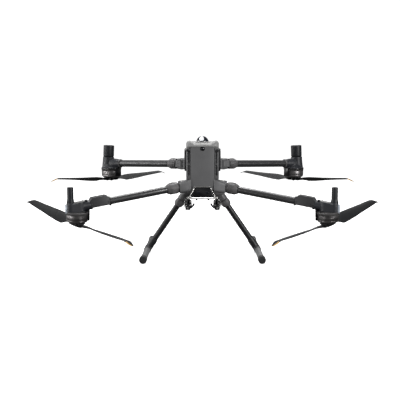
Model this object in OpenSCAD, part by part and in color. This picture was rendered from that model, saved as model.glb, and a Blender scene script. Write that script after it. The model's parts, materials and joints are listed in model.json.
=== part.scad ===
// Folding four-rotor survey drone with fixed skids and two slide-in batteries.
// The nose points along -Y, +Z is up, and the origin is on the ground below
// the middle of the machine, so +X is the machine's own left-hand side.
// Every size is in millimetres.

/* [Airframe] */
// Half the distance between the two front motors
front_hub_x = 366; // [362:1:370]
// Half the distance between the two rear motors
rear_hub_x = 341; // [337:1:345]
// Distance of each motor ahead of or behind the middle
hub_y = 274.5; // [271:0.5:278]
// Downward slope of the front arms in degrees
front_droop = 8.3; // [7.5:0.1:9]
// Downward slope of the rear arms in degrees
rear_droop = 1.6; // [1:0.1:2.5]
// Outside diameter of the front arm tubes
front_tube_d = 22.5; // [21:0.5:24]
// Outside diameter of the rear arm tubes
rear_tube_d = 25; // [24:0.5:26]

/* [Rotors] */
// Diameter swept by a propeller
prop_d = 533; // [520:1:540]
// Widest chord of a blade
blade_chord = 45; // [40:1:50]
// Pitch of the blades in degrees
blade_pitch = 12; // [8:1:13]
// Diameter of the front motors
front_motor_d = 68; // [64:1:72]
// Diameter of the rear motors
rear_motor_d = 75; // [70:1:77]
// Sideways tilt of the front motors in degrees
front_cant = 8.5; // [6:0.5:9]

/* [Body] */
// Width of the upper body
body_w = 100; // [98:1:102]
// Distance from the middle to the front end of the body frame
body_front = 182; // [180:1:184]
// Distance from the middle to the rear end of the body frame
body_rear = 190; // [188:1:192]
// Wall thickness of the body frame
wall = 3; // [2.5:0.1:3.5]

/* [Landing gear] */
// Length of a skid
skid_len = 380; // [360:2:400]
// Distance of each skid from the middle
skid_x = 184; // [180:1:188]
// Diameter of the skid and leg tubes
skid_d = 20; // [18:0.5:20]

/* [Hidden] */
$fn = 64;
FRONT = 0;
REAR = 1;
LEFT = 1;
RIGHT = -1;

// body heights
frame_z = 206;
waist_z = 262;
deck_z = 352;
roof_z = 371;
ear_z = 379;
waist_x = 46;
nose_x = 36;
nose_end_y = -70;
cover_y = body_front + 8;
body_r = 14;

// hinges of the arms: [x, y, z] on the left-hand side, then the arms' directions
hinge = [[61, -143, 236], [72, 111, 291.5]];
hub = [[front_hub_x, -hub_y], [rear_hub_x, hub_y]];
droop = [front_droop, rear_droop];
tube_r = [front_tube_d / 2, rear_tube_d / 2];
cant = [front_cant, 0];
motor_r = [front_motor_d / 2, rear_motor_d / 2];
motor_top = [177, 265];
reach = [for (e = [FRONT, REAR]) norm([hub[e][0] - hinge[e][0], hub[e][1] - hinge[e][1]])];
heading = [for (e = [FRONT, REAR]) atan2(hub[e][1] - hinge[e][1], hub[e][0] - hinge[e][0])];

// fork, eye and pin of an arm hinge
lug_r = 16;
lug_in = 12.3;
lug_out = 18.5;
eye_r = 14;
pin_r = 5;
run = 0.05;
land_r = 13;
lock_from = 20;
lock_to = 57;
lock_r = 18;

// outer end of the sensor box on a front arm
module_to = 297;

// motor and propeller stack, measured down from the motor's top face
base_h = 8;
rim_z = 9;
bell_h = 33;
blade_z = 38;
hub_plate = 2.2;
blade_gap = 3.3;
fold_x = 20;
fold_r = 3;
blade_t = 3.2;
blade_len = prop_d / 2 - fold_x;
blade_line = [68.8, -78.5];
blade_free = [1.6, 1.4];
blade_rise = 13;

// antennas and their posts
antenna_out = 19;
post_out = 15.5;
post_lean = 3.5;
post_top = 308;

// roof fittings
beacon_y = -60;
button_y = 144;
button_r = 7;

// landing gear
skid_r = skid_d / 2;
foot_r = 12;
leg_top_x = 51;
leg_angle = atan2(skid_x - leg_top_x, frame_z - foot_r);
leg_len = norm([skid_x - leg_top_x, frame_z - foot_r]);

// colours
GRAPHITE = [0.30, 0.30, 0.31];
LIGHT_GREY = [0.62, 0.62, 0.62];
BLACK = [0.09, 0.09, 0.10];
CARBON = [0.16, 0.16, 0.16];
WARM_GREY = [0.42, 0.41, 0.41];
STEEL = [0.75, 0.74, 0.72];
BLADE_GREY = [0.22, 0.22, 0.22];
SMOKED = [0.12, 0.14, 0.18, 0.8];

// ---------- helpers ----------

// the machine's own left is +X, and its right-hand parts are mirrored
module at_side(side) {
    if (side == LEFT)
        children();
    else
        mirror([1, 0, 0])
            children();
}

module both_sides() {
    at_side(RIGHT)
        children();
    at_side(LEFT)
        children();
}

// level frame at an arm's hinge, +X along the arm
module at_hinge(end) {
    translate(hinge[end])
        rotate([0, 0, heading[end]])
            children();
}

// the same frame, sloping down with the tube
module on_arm(end) {
    at_hinge(end)
        rotate([0, droop[end], 0])
            children();
}

// level frame below the motor, with heights measured from the ground
module at_hub(end) {
    at_hinge(end)
        translate([reach[end], 0, -hinge[end][2]])
            children();
}

// frame at the centre of the motor's top face, tilted with the motor
module at_motor(end) {
    at_hub(end)
        translate([0, 0, motor_top[end]])
            rotate([cant[end], 0, 0])
                children();
}

module along_x(r, from, to) {
    translate([from, 0, 0])
        rotate([0, 90, 0])
            cylinder(r = r, h = to - from);
}

module rounded_plate(length, width, height, r) {
    translate([-length / 2 + r, -width / 2, 0])
        cube([length - 2 * r, width, height]);
    translate([-length / 2, -width / 2 + r, 0])
        cube([length, width - 2 * r, height]);
    for (x = [-1, 1], y = [-1, 1])
        translate([x * (length / 2 - r), y * (width / 2 - r), 0])
            cylinder(r = r, h = height);
}

// round bar between two points
module rod(a, b, r) {
    v = b - a;
    translate(a)
        rotate([0, acos(v[2] / norm(v)), atan2(v[1], v[0])])
            cylinder(r = r, h = norm(v));
}

// block from y0 to y1 and z0 to z1, centred across the body
module body_block(half_w, y0, y1, z0, z1) {
    translate([-half_w, y0, z0])
        cube([2 * half_w, y1 - y0, z1 - z0]);
}

// ---------- body ----------

module frame_outside() {
    translate([0, (body_rear - body_front) / 2, waist_z])
        rounded_plate(body_w, body_front + body_rear, deck_z - waist_z, body_r);
    body_block(waist_x, nose_end_y, body_rear, frame_z, waist_z);
    body_block(nose_x, -body_front, nose_end_y, frame_z, waist_z);
}

module body_frame() {
    bay_y = 12;
    bay_z = 234;
    color(GRAPHITE)
    difference() {
        frame_outside();
        body_block(body_w / 2 - wall, -body_front + wall, bay_y - wall, waist_z, deck_z + 1);
        body_block(nose_x - wall, -body_front + wall, bay_y - wall, frame_z + wall, waist_z + 1);
        body_block(waist_x - wall, bay_y - wall - 1, body_rear - wall, frame_z + wall, bay_z - wall);
        for (x = [1, -waist_x + 1])
            translate([x, bay_y, bay_z])
                cube([waist_x - 2, body_rear, deck_z - bay_z - wall]);
        for (x = [-25, 25], y = [-155, -95])
            translate([x, y, frame_z - 1])
                cylinder(r = 1.6, h = wall + 2);
        translate([0, -body_front - 1, 355])
            rotate([-90, 0, 0])
                cylinder(r = 8, h = 30);
    }
}

module roof_profile(inset) {
    polygon([
        [-cover_y + inset, deck_z],
        [-cover_y + inset, deck_z + 9 - inset],
        [-cover_y + 70, roof_z - inset],
        [body_rear - 35, roof_z - inset],
        [body_rear - inset, deck_z + 8 - inset],
        [body_rear - inset, deck_z]
    ]);
}

module roof_solid(inset) {
    width = body_w - 2 * inset;
    intersection() {
        translate([-width / 2, 0, 0])
            rotate([90, 0, 90])
                linear_extrude(width)
                    roof_profile(inset);
        translate([0, (body_rear - cover_y) / 2, deck_z])
            rounded_plate(width, cover_y + body_rear - 2 * inset, 30, body_r - inset);
    }
}

module ears() {
    ear_r = 11;
    both_sides()
        translate([body_w / 2 - ear_r, -172, ear_z - ear_r])
            rotate([-90, 0, 0])
                cylinder(r = ear_r, h = 46);
}

module top_cover() {
    color(LIGHT_GREY)
    difference() {
        union() {
            roof_solid(0);
            ears();
        }
        roof_solid(wall);
        translate([0, -cover_y - 1, 355])
            rotate([-90, 0, 0])
                cylinder(r = 9, h = 24);
        for (x = [-25, 25], y = [40, 100])
            translate([x, y, roof_z - wall - 1])
                cylinder(r = 1.6, h = wall + 2);
        translate([0, button_y, roof_z - wall - 1])
            cylinder(r = button_r + run, h = wall + 2);
    }
}

module nose_cover() {
    face_r = 320;
    color(GRAPHITE)
    difference() {
        intersection() {
            body_block(nose_x - 0.5, -cover_y, -body_front, frame_z, deck_z);
            translate([0, -cover_y + face_r, frame_z - 1])
                cylinder(r = face_r, h = deck_z, $fn = 256);
        }
        translate([0, -body_front + 1, 0])
            rotate([90, 0, 0])
                linear_extrude(cover_y - body_front + 2)
                    window_outline(0);
        translate([0, -cover_y - 1, 355])
            rotate([-90, 0, 0])
                cylinder(r = 8, h = 20);
    }
}

module window_outline(inset) {
    polygon([
        [-33 + inset, frame_z + 1 + inset],
        [33 - inset, frame_z + 1 + inset],
        [24 - inset, 238 - inset],
        [-24 + inset, 238 - inset]
    ]);
}

module nose_window() {
    color(BLACK)
    translate([0, -body_front, 0])
        rotate([90, 0, 0])
            linear_extrude(4)
                window_outline(0.2);
}

// corner strips beside the nose cover, each with two tall vents
module nose_side_trims() {
    corner_r = 7;
    front_y = -body_front - 3;
    side_x = body_w / 2;
    color(GRAPHITE)
    both_sides()
        difference() {
            union() {
                translate([nose_x, front_y, waist_z])
                    cube([side_x - nose_x - corner_r, 17, deck_z - waist_z]);
                translate([nose_x, front_y + corner_r, waist_z])
                    cube([side_x - nose_x, 17 - corner_r, deck_z - waist_z]);
                translate([side_x - corner_r, front_y + corner_r, waist_z])
                    cylinder(r = corner_r, h = deck_z - waist_z);
            }
            frame_outside();
            for (z = [waist_z + 10, waist_z + 51])
                translate([nose_x + 3, front_y - 1, z])
                    cube([5, 4, 33]);
        }
}

module side_vision_modules() {
    color(BLACK)
    both_sides()
        translate([body_w / 2, -105, 318])
            rotate([0, 90, 0])
                rounded_plate(70, 84, 6, 12);
}

module fpv_camera() {
    lens_z = 355;
    color(BLACK)
    translate([0, -cover_y - 1, lens_z])
        rotate([-90, 0, 0])
            difference() {
                cylinder(r = 7.6, h = 22);
                translate([0, 0, -1])
                    cylinder(r = 5, h = 3);
            }
}

module beacon_dome() {
    dome_r = 20;
    color(SMOKED)
    translate([0, beacon_y, roof_z])
        intersection() {
            difference() {
                sphere(r = dome_r);
                sphere(r = dome_r - 1.5);
            }
            cylinder(r = dome_r + 1, h = dome_r + 1);
        }
}

module bottom_vision_module() {
    color(BLACK)
    difference() {
        translate([0, 60, frame_z - 7])
            rounded_plate(70, 110, 7, 12);
        for (y = [30, 90])
            translate([0, y, frame_z - 8])
                cylinder(r = 8, h = 4);
        translate([0, 60, frame_z - 8])
            cylinder(r = 5, h = 4);
    }
}

module main_board() {
    stack_z = waist_z + 12;
    color("darkgreen")
    for (z = [stack_z, stack_z + 26]) {
        body_block(38, -150, -20, z, z + 2);
        for (x = [-32, 32], y = [-140, -30])
            translate([x, y, z + 2])
                cylinder(r = 3, h = 24);
    }
    color("dimgray")
    body_block(26, -120, -50, stack_z + 54, stack_z + 66);
    color("dimgray")
    for (x = [-22, 22], y = [-110, -60])
        translate([x, y, stack_z + 28])
            cylinder(r = 4, h = 26);
}

module body_screws() {
    color(STEEL) {
        both_sides()
            for (y = [-45, 30, 165])
                translate([body_w / 2, y, 345])
                    rotate([0, 90, 0])
                        cylinder(r = 2.5, h = 1.2);
        both_sides()
            for (y = [20, 100])
                translate([28, y, frame_z - 8.5])
                    cylinder(r = 2.5, h = 1.5);
    }
}

module power_button() {
    color(BLACK) {
        translate([0, button_y, roof_z - wall - 2.5])
            cylinder(r = button_r + 2, h = 2.2);
        translate([0, button_y, roof_z - wall - 0.5])
            cylinder(r = button_r, h = wall + 2);
    }
}

module battery() {
    bay_y = 12;
    low_z = 236;
    high_z = 347;
    color(WARM_GREY)
    difference() {
        union() {
            translate([2.5, bay_y + 2, low_z])
                cube([40, body_rear - bay_y - 2, high_z - low_z]);
            translate([2.5, body_rear, low_z + 4])
                cube([40, 6, high_z - low_z - 8]);
        }
        translate([8, body_rear + 2, high_z - 40])
            cube([29, 5, 22]);
    }
}

// ---------- arm hinges ----------

module fork_solid() {
    inboard = 70;
    room_r = eye_r + 1.5;
    difference() {
        union() {
            translate([0, 0, -lug_out])
                cylinder(r = lug_r, h = 2 * lug_out);
            translate([-inboard, -lug_r, -lug_out])
                cube([inboard, lug_r + 10, 2 * lug_out]);
        }
        translate([0, 0, -lug_in])
            cylinder(r = room_r, h = 2 * lug_in);
        translate([-14.5, 0, -lug_in])
            cube([40, 20, 2 * lug_in]);
        translate([0, -20, -lug_in])
            cube([40, 40, 2 * lug_in]);
        cylinder(r = pin_r, h = 50, center = true);
    }
}

module arm_fork(end) {
    wall_x = end == FRONT ? nose_x : body_w / 2;
    intersection() {
        at_hinge(end)
            mirror([0, end, 0])
                fork_solid();
        translate([wall_x, -300, 0])
            cube([200, 600, 400]);
    }
}

module arm_forks() {
    color(GRAPHITE)
    both_sides()
        for (end = [FRONT, REAR])
            arm_fork(end);
}

module hinge_pins() {
    color(STEEL)
    both_sides()
        for (end = [FRONT, REAR])
            translate(hinge[end]) {
                cylinder(r = pin_r, h = 2 * lug_out, center = true);
                translate([0, 0, lug_out])
                    cylinder(r = pin_r + 2, h = 1.5);
                translate([0, 0, -lug_out - 1.5])
                    cylinder(r = pin_r + 2, h = 1.5);
            }
}

// carbon tube with its bonded hinge knuckle
module arm(end) {
    tube_end = reach[end] - 12;
    color(CARBON)
    difference() {
        union() {
            at_hinge(end)
                cylinder(r = eye_r, h = 24, center = true);
            on_arm(end) {
                translate([8, -9, -9])
                    cube([14, 18, 18]);
                along_x(land_r, lock_from - 0.5, lock_to + 1);
                along_x(tube_r[end], lock_to, tube_end);
            }
        }
        at_hinge(end)
            cylinder(r = pin_r + run, h = 50, center = true);
        on_arm(end)
            along_x(tube_r[end] - 1.5, lock_to + 4, tube_end + 1);
    }
}

// sleeve that twists round the knuckle to lock the arm
module arm_lock(end) {
    color(WARM_GREY)
    on_arm(end)
        rotate([0, 90, 0])
            rotate_extrude()
                polygon([
                    [land_r + run, lock_from],
                    [lock_r - 1, lock_from],
                    [lock_r, lock_from + 1],
                    [lock_r, lock_to - 9],
                    [land_r + 2, lock_to],
                    [land_r + run, lock_to]
                ]);
}

module arm_module(end = FRONT) {
    box_from = module_to - 63;
    box_to = module_to;
    box_up = 21;
    color(BLACK)
    difference() {
        on_arm(end)
            translate([0, 14, 0])
                rotate([90, 0, 0])
                    linear_extrude(28)
                        polygon([
                            [box_from, -8],
                            [box_to, -8],
                            [box_to, 12],
                            [box_to - 8, box_up],
                            [box_from + 16, box_up],
                            [box_from, 12]
                        ]);
        on_arm(end)
            along_x(tube_r[end], 100, 400);
    }
}

// ---------- pods, antennas and motors ----------

module below_motor(end) {
    at_motor(end)
        translate([-80, -80, -100])
            cube([160, 160, 100]);
}

module front_pod() {
    end = FRONT;
    deck = 200;
    color(BLACK)
    difference() {
        union() {
            at_hub(end)
                translate([4, 0, 165])
                    rounded_plate(60, 46, deck - 165, 20);
            at_hub(end)
                translate([antenna_out, 0, deck - 8])
                    cylinder(r = 11, h = 11);
            on_arm(end)
                along_x(15, module_to + 0.5, reach[end] - 4);
        }
        on_arm(end)
            along_x(tube_r[end], 100, reach[end] - 12);
        below_motor(end);
    }
}

module front_antenna() {
    color(BLACK)
    at_hub(FRONT)
        translate([antenna_out, 0, 203])
            cylinder(r = 9.3, h = 44);
}

module rear_pod() {
    end = REAR;
    color(BLACK)
    difference() {
        union() {
            at_hub(end)
                translate([post_out, 0, 260])
                    rotate([0, -post_lean, 0])
                        cylinder(r1 = 23, r2 = 20.8, h = post_top - 260);
            on_arm(end)
                along_x(16, reach[end] - 42, reach[end] + 4);
            at_motor(end)
                cylinder(r = motor_r[end], h = 3);
        }
        on_arm(end)
            along_x(tube_r[end], 100, reach[end] - 12);
        below_motor(end);
    }
}

module rear_antenna() {
    color(BLACK)
    at_hub(REAR)
        translate([post_out, 0, 260])
            rotate([0, -post_lean, 0])
                translate([0, 0, post_top - 260])
                    cylinder(r = 19.8, h = 42);
}

module motor_base(end) {
    core_h = 25;
    color(WARM_GREY)
    at_motor(end)
        difference() {
            union() {
                translate([0, 0, -base_h])
                    cylinder(r = motor_r[end] - 1, h = base_h);
                translate([0, 0, -core_h])
                    cylinder(r = motor_r[end] - 9, h = core_h);
            }
            translate([0, 0, -core_h - 1])
                cylinder(r = 4 + run, h = core_h);
        }
}

// motor bell with its shaft, and the clamp that the blades fold in
module rotor(end) {
    r = motor_r[end];
    color(STEEL)
    at_motor(end) {
        difference() {
            translate([0, 0, -bell_h])
                cylinder(r = r, h = bell_h - rim_z);
            translate([0, 0, -bell_h + 4])
                cylinder(r = r - 5, h = bell_h);
        }
        translate([0, 0, -bell_h])
            cylinder(r = 4, h = bell_h - 3);
        translate([0, 0, -blade_z])
            rotate([0, 0, blade_line[end]]) {
                for (z = [blade_gap, -blade_gap - hub_plate]) {
                    translate([0, 0, z])
                        rounded_plate(2 * fold_x + 22, 22, hub_plate, 10);
                }
                for (x = [-fold_x, fold_x])
                    translate([x, 0, -blade_gap - hub_plate])
                        cylinder(r = fold_r, h = 2 * (blade_gap + hub_plate));
                translate([0, 0, -blade_gap])
                    cylinder(r = 6, h = 2 * blade_gap);
            }
    }
}

// outline of a blade from its fold pin, leading edge on +Y
module blade_outline() {
    c = blade_chord;
    tip = blade_len;
    polygon([
        [0, -0.11 * c],
        [12, -0.12 * c],
        [26, -0.53 * c],
        [0.36 * tip, -0.50 * c],
        [0.52 * tip, -0.44 * c],
        [0.70 * tip, -0.38 * c],
        [0.87 * tip, -0.28 * c],
        [tip, -0.16 * c],
        [tip, 0.02 * c],
        [0.97 * tip, 0.19 * c],
        [0.91 * tip, 0.31 * c],
        [0.74 * tip, 0.38 * c],
        [0.53 * tip, 0.44 * c],
        [0.28 * tip, 0.48 * c],
        [0.14 * tip, 0.36 * c],
        [12, 0.12 * c],
        [0, 0.11 * c]
    ]);
}

// seen from the edge, the blade rises slightly and its last part bends down
module blade_side() {
    level = 30;
    bend = 0.91 * blade_len;
    past = blade_len + 5;
    drop = (past - bend) * tan(20) - blade_rise;
    thick = blade_t / cos(20);
    polygon([
        [-1, -blade_t / 2],
        [level, -blade_t / 2],
        [bend - blade_t * tan(12), blade_rise - blade_t / 2],
        [past, blade_t / 2 - drop - thick],
        [past, blade_t / 2 - drop],
        [bend, blade_rise + blade_t / 2],
        [level, blade_t / 2],
        [-1, blade_t / 2]
    ]);
}

// turn is 1 where the leading edge is on +Y and -1 where it is on -Y
module blade(end, flip, turn) {
    c = blade_chord;
    color(BLADE_GREY)
    at_motor(end)
        translate([0, 0, -blade_z])
            rotate([0, 0, blade_line[end] + flip])
                translate([fold_x, 0, 0])
                    rotate([0, 0, flip == 0 ? -blade_free[end] : blade_free[end]])
                        difference() {
                            union() {
                                cylinder(r = 9, h = 6.4, center = true);
                                mirror([0, turn < 0 ? 1 : 0, 0])
                                    rotate([blade_pitch, 0, 0])
                                        intersection() {
                                            translate([0, 0, -60])
                                                linear_extrude(120)
                                                    blade_outline();
                                            translate([0, c, 0])
                                                rotate([90, 0, 0])
                                                    linear_extrude(2 * c)
                                                        blade_side();
                                        }
                            }
                            cylinder(r = fold_r + run, h = 20, center = true);
                        }
}

// ---------- gimbal bracket ----------

module gimbal_frame() {
    bar_r = 1.6;
    low = [42, -206, 205];
    high = [24, -194, 239];
    color(STEEL) {
        rod([-high[0], high[1], high[2]], high, bar_r);
        rod([-low[0], low[1], low[2]], low, bar_r);
        both_sides() {
            rod(low, high, bar_r);
            rod(low, [low[0], -176, 203.5], bar_r);
            translate(low)
                sphere(r = bar_r * 1.5);
            translate(high)
                sphere(r = bar_r * 1.2);
            translate([34, -186, 202])
                cube([14, 22, 4]);
        }
    }
}

module gimbal_dampers() {
    color(BLACK)
    both_sides()
        for (y = [-181, -169])
            translate([43, y, 194])
                intersection() {
                    sphere(r = 9.5);
                    cube([30, 10.5, 16], center = true);
                }
}

module gimbal_clamps() {
    color(BLACK)
    both_sides() {
        translate([36, -190, 180])
            cube([15, 32, 6]);
        translate([41, -187, 172])
            cube([8, 26, 8]);
        rod([42, -184, 178], [29, -190, 186], 2);
    }
}

// ---------- landing gear ----------

// frame at the top of a leg, +Z down along the leg
module on_leg() {
    translate([leg_top_x, 0, frame_z])
        rotate([0, 180 - leg_angle, 0])
            children();
}

module leg_sockets() {
    color(GRAPHITE)
    both_sides()
        difference() {
            intersection() {
                union() {
                    on_leg()
                        translate([0, 0, -20])
                            cylinder(r = 15, h = 56);
                    translate([38, -24, frame_z - 10])
                        cube([28, 48, 10]);
                }
                translate([0, -50, 100])
                    cube([100, 100, frame_z - 100]);
            }
            on_leg()
                translate([0, 0, 6])
                    cylinder(r = skid_r, h = 60);
        }
}

module leg_lock() {
    color(WARM_GREY)
    on_leg()
        rotate_extrude()
            polygon([
                [skid_r + run, 36.5],
                [15, 36.5],
                [15, 52],
                [13, 58],
                [skid_r + run, 58]
            ]);
}

module leg_tubes() {
    color(BLACK)
    both_sides()
        on_leg()
            difference() {
                translate([0, 0, 6])
                    cylinder(r = skid_r, h = leg_len - 26);
                translate([0, 0, 7])
                    cylinder(r = skid_r - 1.5, h = leg_len);
            }
}

module leg_tees() {
    color(BLACK)
    both_sides()
        difference() {
            union() {
                on_leg()
                    translate([0, 0, leg_len - 40])
                        cylinder(r = foot_r, h = 40);
                translate([skid_x, -26, foot_r])
                    rotate([-90, 0, 0])
                        cylinder(r = foot_r, h = 52);
            }
            on_leg()
                translate([0, 0, leg_len - 60])
                    cylinder(r = skid_r, h = 40);
            translate([skid_x, -40, foot_r])
                rotate([-90, 0, 0])
                    cylinder(r = skid_r, h = 80);
        }
}

module skid_tubes() {
    color(WARM_GREY)
    both_sides()
        translate([skid_x, -skid_len / 2 + 4, foot_r])
            rotate([-90, 0, 0])
                difference() {
                    cylinder(r = skid_r, h = skid_len - 8);
                    translate([0, 0, -1])
                        cylinder(r = skid_r - 1.5, h = skid_len);
                }
}

module skid_caps() {
    cap_len = 24;
    color(BLACK)
    both_sides()
        for (flip = [0, 1])
            mirror([0, flip, 0])
                translate([skid_x, -skid_len / 2, foot_r])
                    rotate([-90, 0, 0])
                        difference() {
                            cylinder(r = foot_r, h = cap_len);
                            translate([0, 0, 4])
                                cylinder(r = skid_r, h = cap_len);
                        }
}

// ---------- assembly ----------

body_frame();
top_cover();
nose_cover();
nose_side_trims();
side_vision_modules();
nose_window();
fpv_camera();
beacon_dome();
arm_forks();
hinge_pins();
gimbal_frame();
gimbal_dampers();
gimbal_clamps();
bottom_vision_module();
main_board();
leg_sockets();
leg_tubes();
leg_tees();
skid_tubes();
skid_caps();
body_screws();
power_button();
at_side(LEFT) battery();  // battery_left
at_side(RIGHT) battery();  // battery_right
at_side(LEFT) leg_lock();  // leg_lock_left
at_side(RIGHT) leg_lock();  // leg_lock_right
at_side(LEFT) arm(FRONT);  // front_arm_left
at_side(RIGHT) arm(FRONT);  // front_arm_right
at_side(LEFT) arm(REAR);  // rear_arm_left
at_side(RIGHT) arm(REAR);  // rear_arm_right
at_side(LEFT) arm_lock(FRONT);  // front_lock_left
at_side(RIGHT) arm_lock(FRONT);  // front_lock_right
at_side(LEFT) arm_lock(REAR);  // rear_lock_left
at_side(RIGHT) arm_lock(REAR);  // rear_lock_right
at_side(LEFT) front_pod();  // front_pod_left
at_side(RIGHT) front_pod();  // front_pod_right
at_side(LEFT) rear_pod();  // rear_pod_left
at_side(RIGHT) rear_pod();  // rear_pod_right
at_side(LEFT) front_antenna();  // front_antenna_left
at_side(RIGHT) front_antenna();  // front_antenna_right
at_side(LEFT) rear_antenna();  // rear_antenna_left
at_side(RIGHT) rear_antenna();  // rear_antenna_right
at_side(LEFT) arm_module();  // arm_module_left
at_side(RIGHT) arm_module();  // arm_module_right
at_side(LEFT) motor_base(FRONT);  // front_motor_base_left
at_side(RIGHT) motor_base(FRONT);  // front_motor_base_right
at_side(LEFT) motor_base(REAR);  // rear_motor_base_left
at_side(RIGHT) motor_base(REAR);  // rear_motor_base_right
at_side(LEFT) rotor(FRONT);  // front_rotor_left
at_side(RIGHT) rotor(FRONT);  // front_rotor_right
at_side(LEFT) rotor(REAR);  // rear_rotor_left
at_side(RIGHT) rotor(REAR);  // rear_rotor_right
at_side(LEFT) blade(FRONT, 0, 1);  // front_blade_out_left
at_side(LEFT) blade(FRONT, 180, 1);  // front_blade_in_left
at_side(RIGHT) blade(FRONT, 0, 1);  // front_blade_out_right
at_side(RIGHT) blade(FRONT, 180, 1);  // front_blade_in_right
at_side(LEFT) blade(REAR, 0, -1);  // rear_blade_out_left
at_side(LEFT) blade(REAR, 180, -1);  // rear_blade_in_left
at_side(RIGHT) blade(REAR, 0, -1);  // rear_blade_out_right
at_side(RIGHT) blade(REAR, 180, -1);  // rear_blade_in_right
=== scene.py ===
"""Looks of a folding four-rotor survey drone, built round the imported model.

Every piece is drawn in millimetres in a local frame, then placed in metres.
"""

import json
import math

import bmesh
import bpy
from mathutils import Matrix, Vector


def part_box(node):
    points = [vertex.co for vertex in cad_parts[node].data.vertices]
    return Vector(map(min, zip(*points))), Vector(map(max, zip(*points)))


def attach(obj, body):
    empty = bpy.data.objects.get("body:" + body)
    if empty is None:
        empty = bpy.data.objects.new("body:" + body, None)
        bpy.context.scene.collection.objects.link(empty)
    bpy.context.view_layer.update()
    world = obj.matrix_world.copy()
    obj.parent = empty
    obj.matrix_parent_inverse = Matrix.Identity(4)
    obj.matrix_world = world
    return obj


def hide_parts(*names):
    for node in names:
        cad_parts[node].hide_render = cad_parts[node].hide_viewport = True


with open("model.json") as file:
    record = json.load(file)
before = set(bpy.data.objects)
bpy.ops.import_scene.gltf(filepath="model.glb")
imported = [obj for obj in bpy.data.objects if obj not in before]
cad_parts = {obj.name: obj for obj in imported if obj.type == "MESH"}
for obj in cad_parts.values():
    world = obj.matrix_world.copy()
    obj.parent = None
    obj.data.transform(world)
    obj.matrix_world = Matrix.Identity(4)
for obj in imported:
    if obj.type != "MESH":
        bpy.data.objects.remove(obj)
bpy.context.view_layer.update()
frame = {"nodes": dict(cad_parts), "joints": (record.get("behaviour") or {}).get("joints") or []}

MM = Matrix.Scale(0.001, 4)
HERE = Matrix.Identity(4)
SIDES = {"left": HERE, "right": Matrix.Scale(-1, 4, Vector((1, 0, 0)))}
ENDS = ("front", "rear")
JOINTS = {j["name"]: j for j in frame["joints"]}


# ---------------------------------------------------------------- frames
def move(x=0.0, y=0.0, z=0.0):
    return Matrix.Translation((x, y, z))


def turn(degrees, axis):
    return Matrix.Rotation(math.radians(degrees), 4, axis)


STAND = turn(90, "X")  # an outline's (x, y) becomes (x, z), extruded towards -Y
ALONG_X = turn(90, "Y")  # a lathe's axis becomes +X
FLANK = Matrix(((0, 0, 1, 0), (1, 0, 0, 0), (0, 1, 0, 0), (0, 0, 0, 1)))  # outline in Y and Z


def pivot(joint):
    return 1000 * Vector(JOINTS[joint]["pos_m"])


def axis_of(joint):
    return Vector(JOINTS[joint]["axis"]).normalized()


def box_mm(node):
    low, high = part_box(node)
    return 1000 * low, 1000 * high


def arm_frames(end):
    """Left-hand frames of one arm, from the hinge, the twist and the spin joints."""
    hinge = pivot(end + "_left_arm_fold")
    top = pivot(end + "_left_rotor_spin")
    along = axis_of(end + "_left_lock_twist")
    along = along if along.x > 0 else -along
    heading = math.degrees(math.atan2(top.y - hinge.y, top.x - hinge.x))
    droop = math.degrees(math.asin(-along.z))
    spin = turn(-heading, "Z") @ axis_of(end + "_left_rotor_spin")
    cant = math.degrees(math.atan2(-spin.y, spin.z))
    level = Matrix.Translation(hinge) @ turn(heading, "Z")
    motor = Matrix.Translation(top) @ turn(heading, "Z") @ turn(cant, "X")
    fold = motor.inverted() @ pivot(end + "_left_blade_out_fold")
    return {
        "level": level,
        "arm": level @ turn(droop, "Y"),
        "hub": move(top.x, top.y) @ turn(heading, "Z"),
        "motor": motor,
        "reach": math.hypot(top.x - hinge.x, top.y - hinge.y),
        "fold_x": math.hypot(fold.x, fold.y),
        "clamp": motor @ move(0, 0, fold.z) @ turn(math.degrees(math.atan2(fold.y, fold.x)), "Z"),
    }


ARM = {end: arm_frames(end) for end in ENDS}


# ---------------------------------------------------------------- materials
def plug(tree, value, socket):
    """A value, or another node's output, goes into the socket."""
    if isinstance(value, bpy.types.NodeSocket):
        tree.links.new(value, socket)
    else:
        socket.default_value = value


def add(tree, kind, links=None, **settings):
    """A shader node; links gives its inputs as values or as other nodes' outputs."""
    node = tree.nodes.new("ShaderNode" + kind)
    for name, value in settings.items():
        setattr(node, name, value)
    for name, value in (links or {}).items():
        plug(tree, value, node.inputs[name])
    return node


def math_node(tree, operation, a, b=0.0):
    return add(tree, "Math", {0: a, 1: b}, operation=operation).outputs[0]


def times(tree, a, b):
    return math_node(tree, "MULTIPLY", a, b)


def ramp(tree, factor, stops):
    """Colour ramp from [(position, grey or colour), ...]."""
    node = add(tree, "ValToRGB", {"Fac": factor})
    while len(node.color_ramp.elements) < len(stops):
        node.color_ramp.elements.new(0.5)
    for element, (position, value) in zip(node.color_ramp.elements, stops):
        colour = (value,) * 3 if isinstance(value, (int, float)) else value
        element.position = position
        element.color = (*colour, 1)
    return node.outputs["Color"]


def noise_map(tree, coords, scale, detail=3.0, rough=0.55):
    links = {"Vector": coords, "Scale": scale, "Detail": detail, "Roughness": rough}
    return add(tree, "TexNoise", links).outputs["Fac"]


def mapped(tree, value, low, high, new_low, new_high):
    return add(tree, "MapRange", {0: value, 1: low, 2: high, 3: new_low, 4: new_high}).outputs[0]


def choice(tree, factor, a, b):
    return add(tree, "Mix", {0: factor, 2: a, 3: b}, data_type="FLOAT").outputs[0]


def blend_colour(tree, factor, a, b, blend="MIX"):
    node = add(tree, "Mix", {0: factor}, data_type="RGBA", blend_type=blend)
    for index, value in ((6, a), (7, b)):
        plug(tree, (*value, 1) if isinstance(value, tuple) else value, node.inputs[index])
    return node.outputs[2]


def soft_edge(tree, radius):
    return add(tree, "Bevel", {"Radius": radius}, samples=4).outputs["Normal"]


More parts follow.
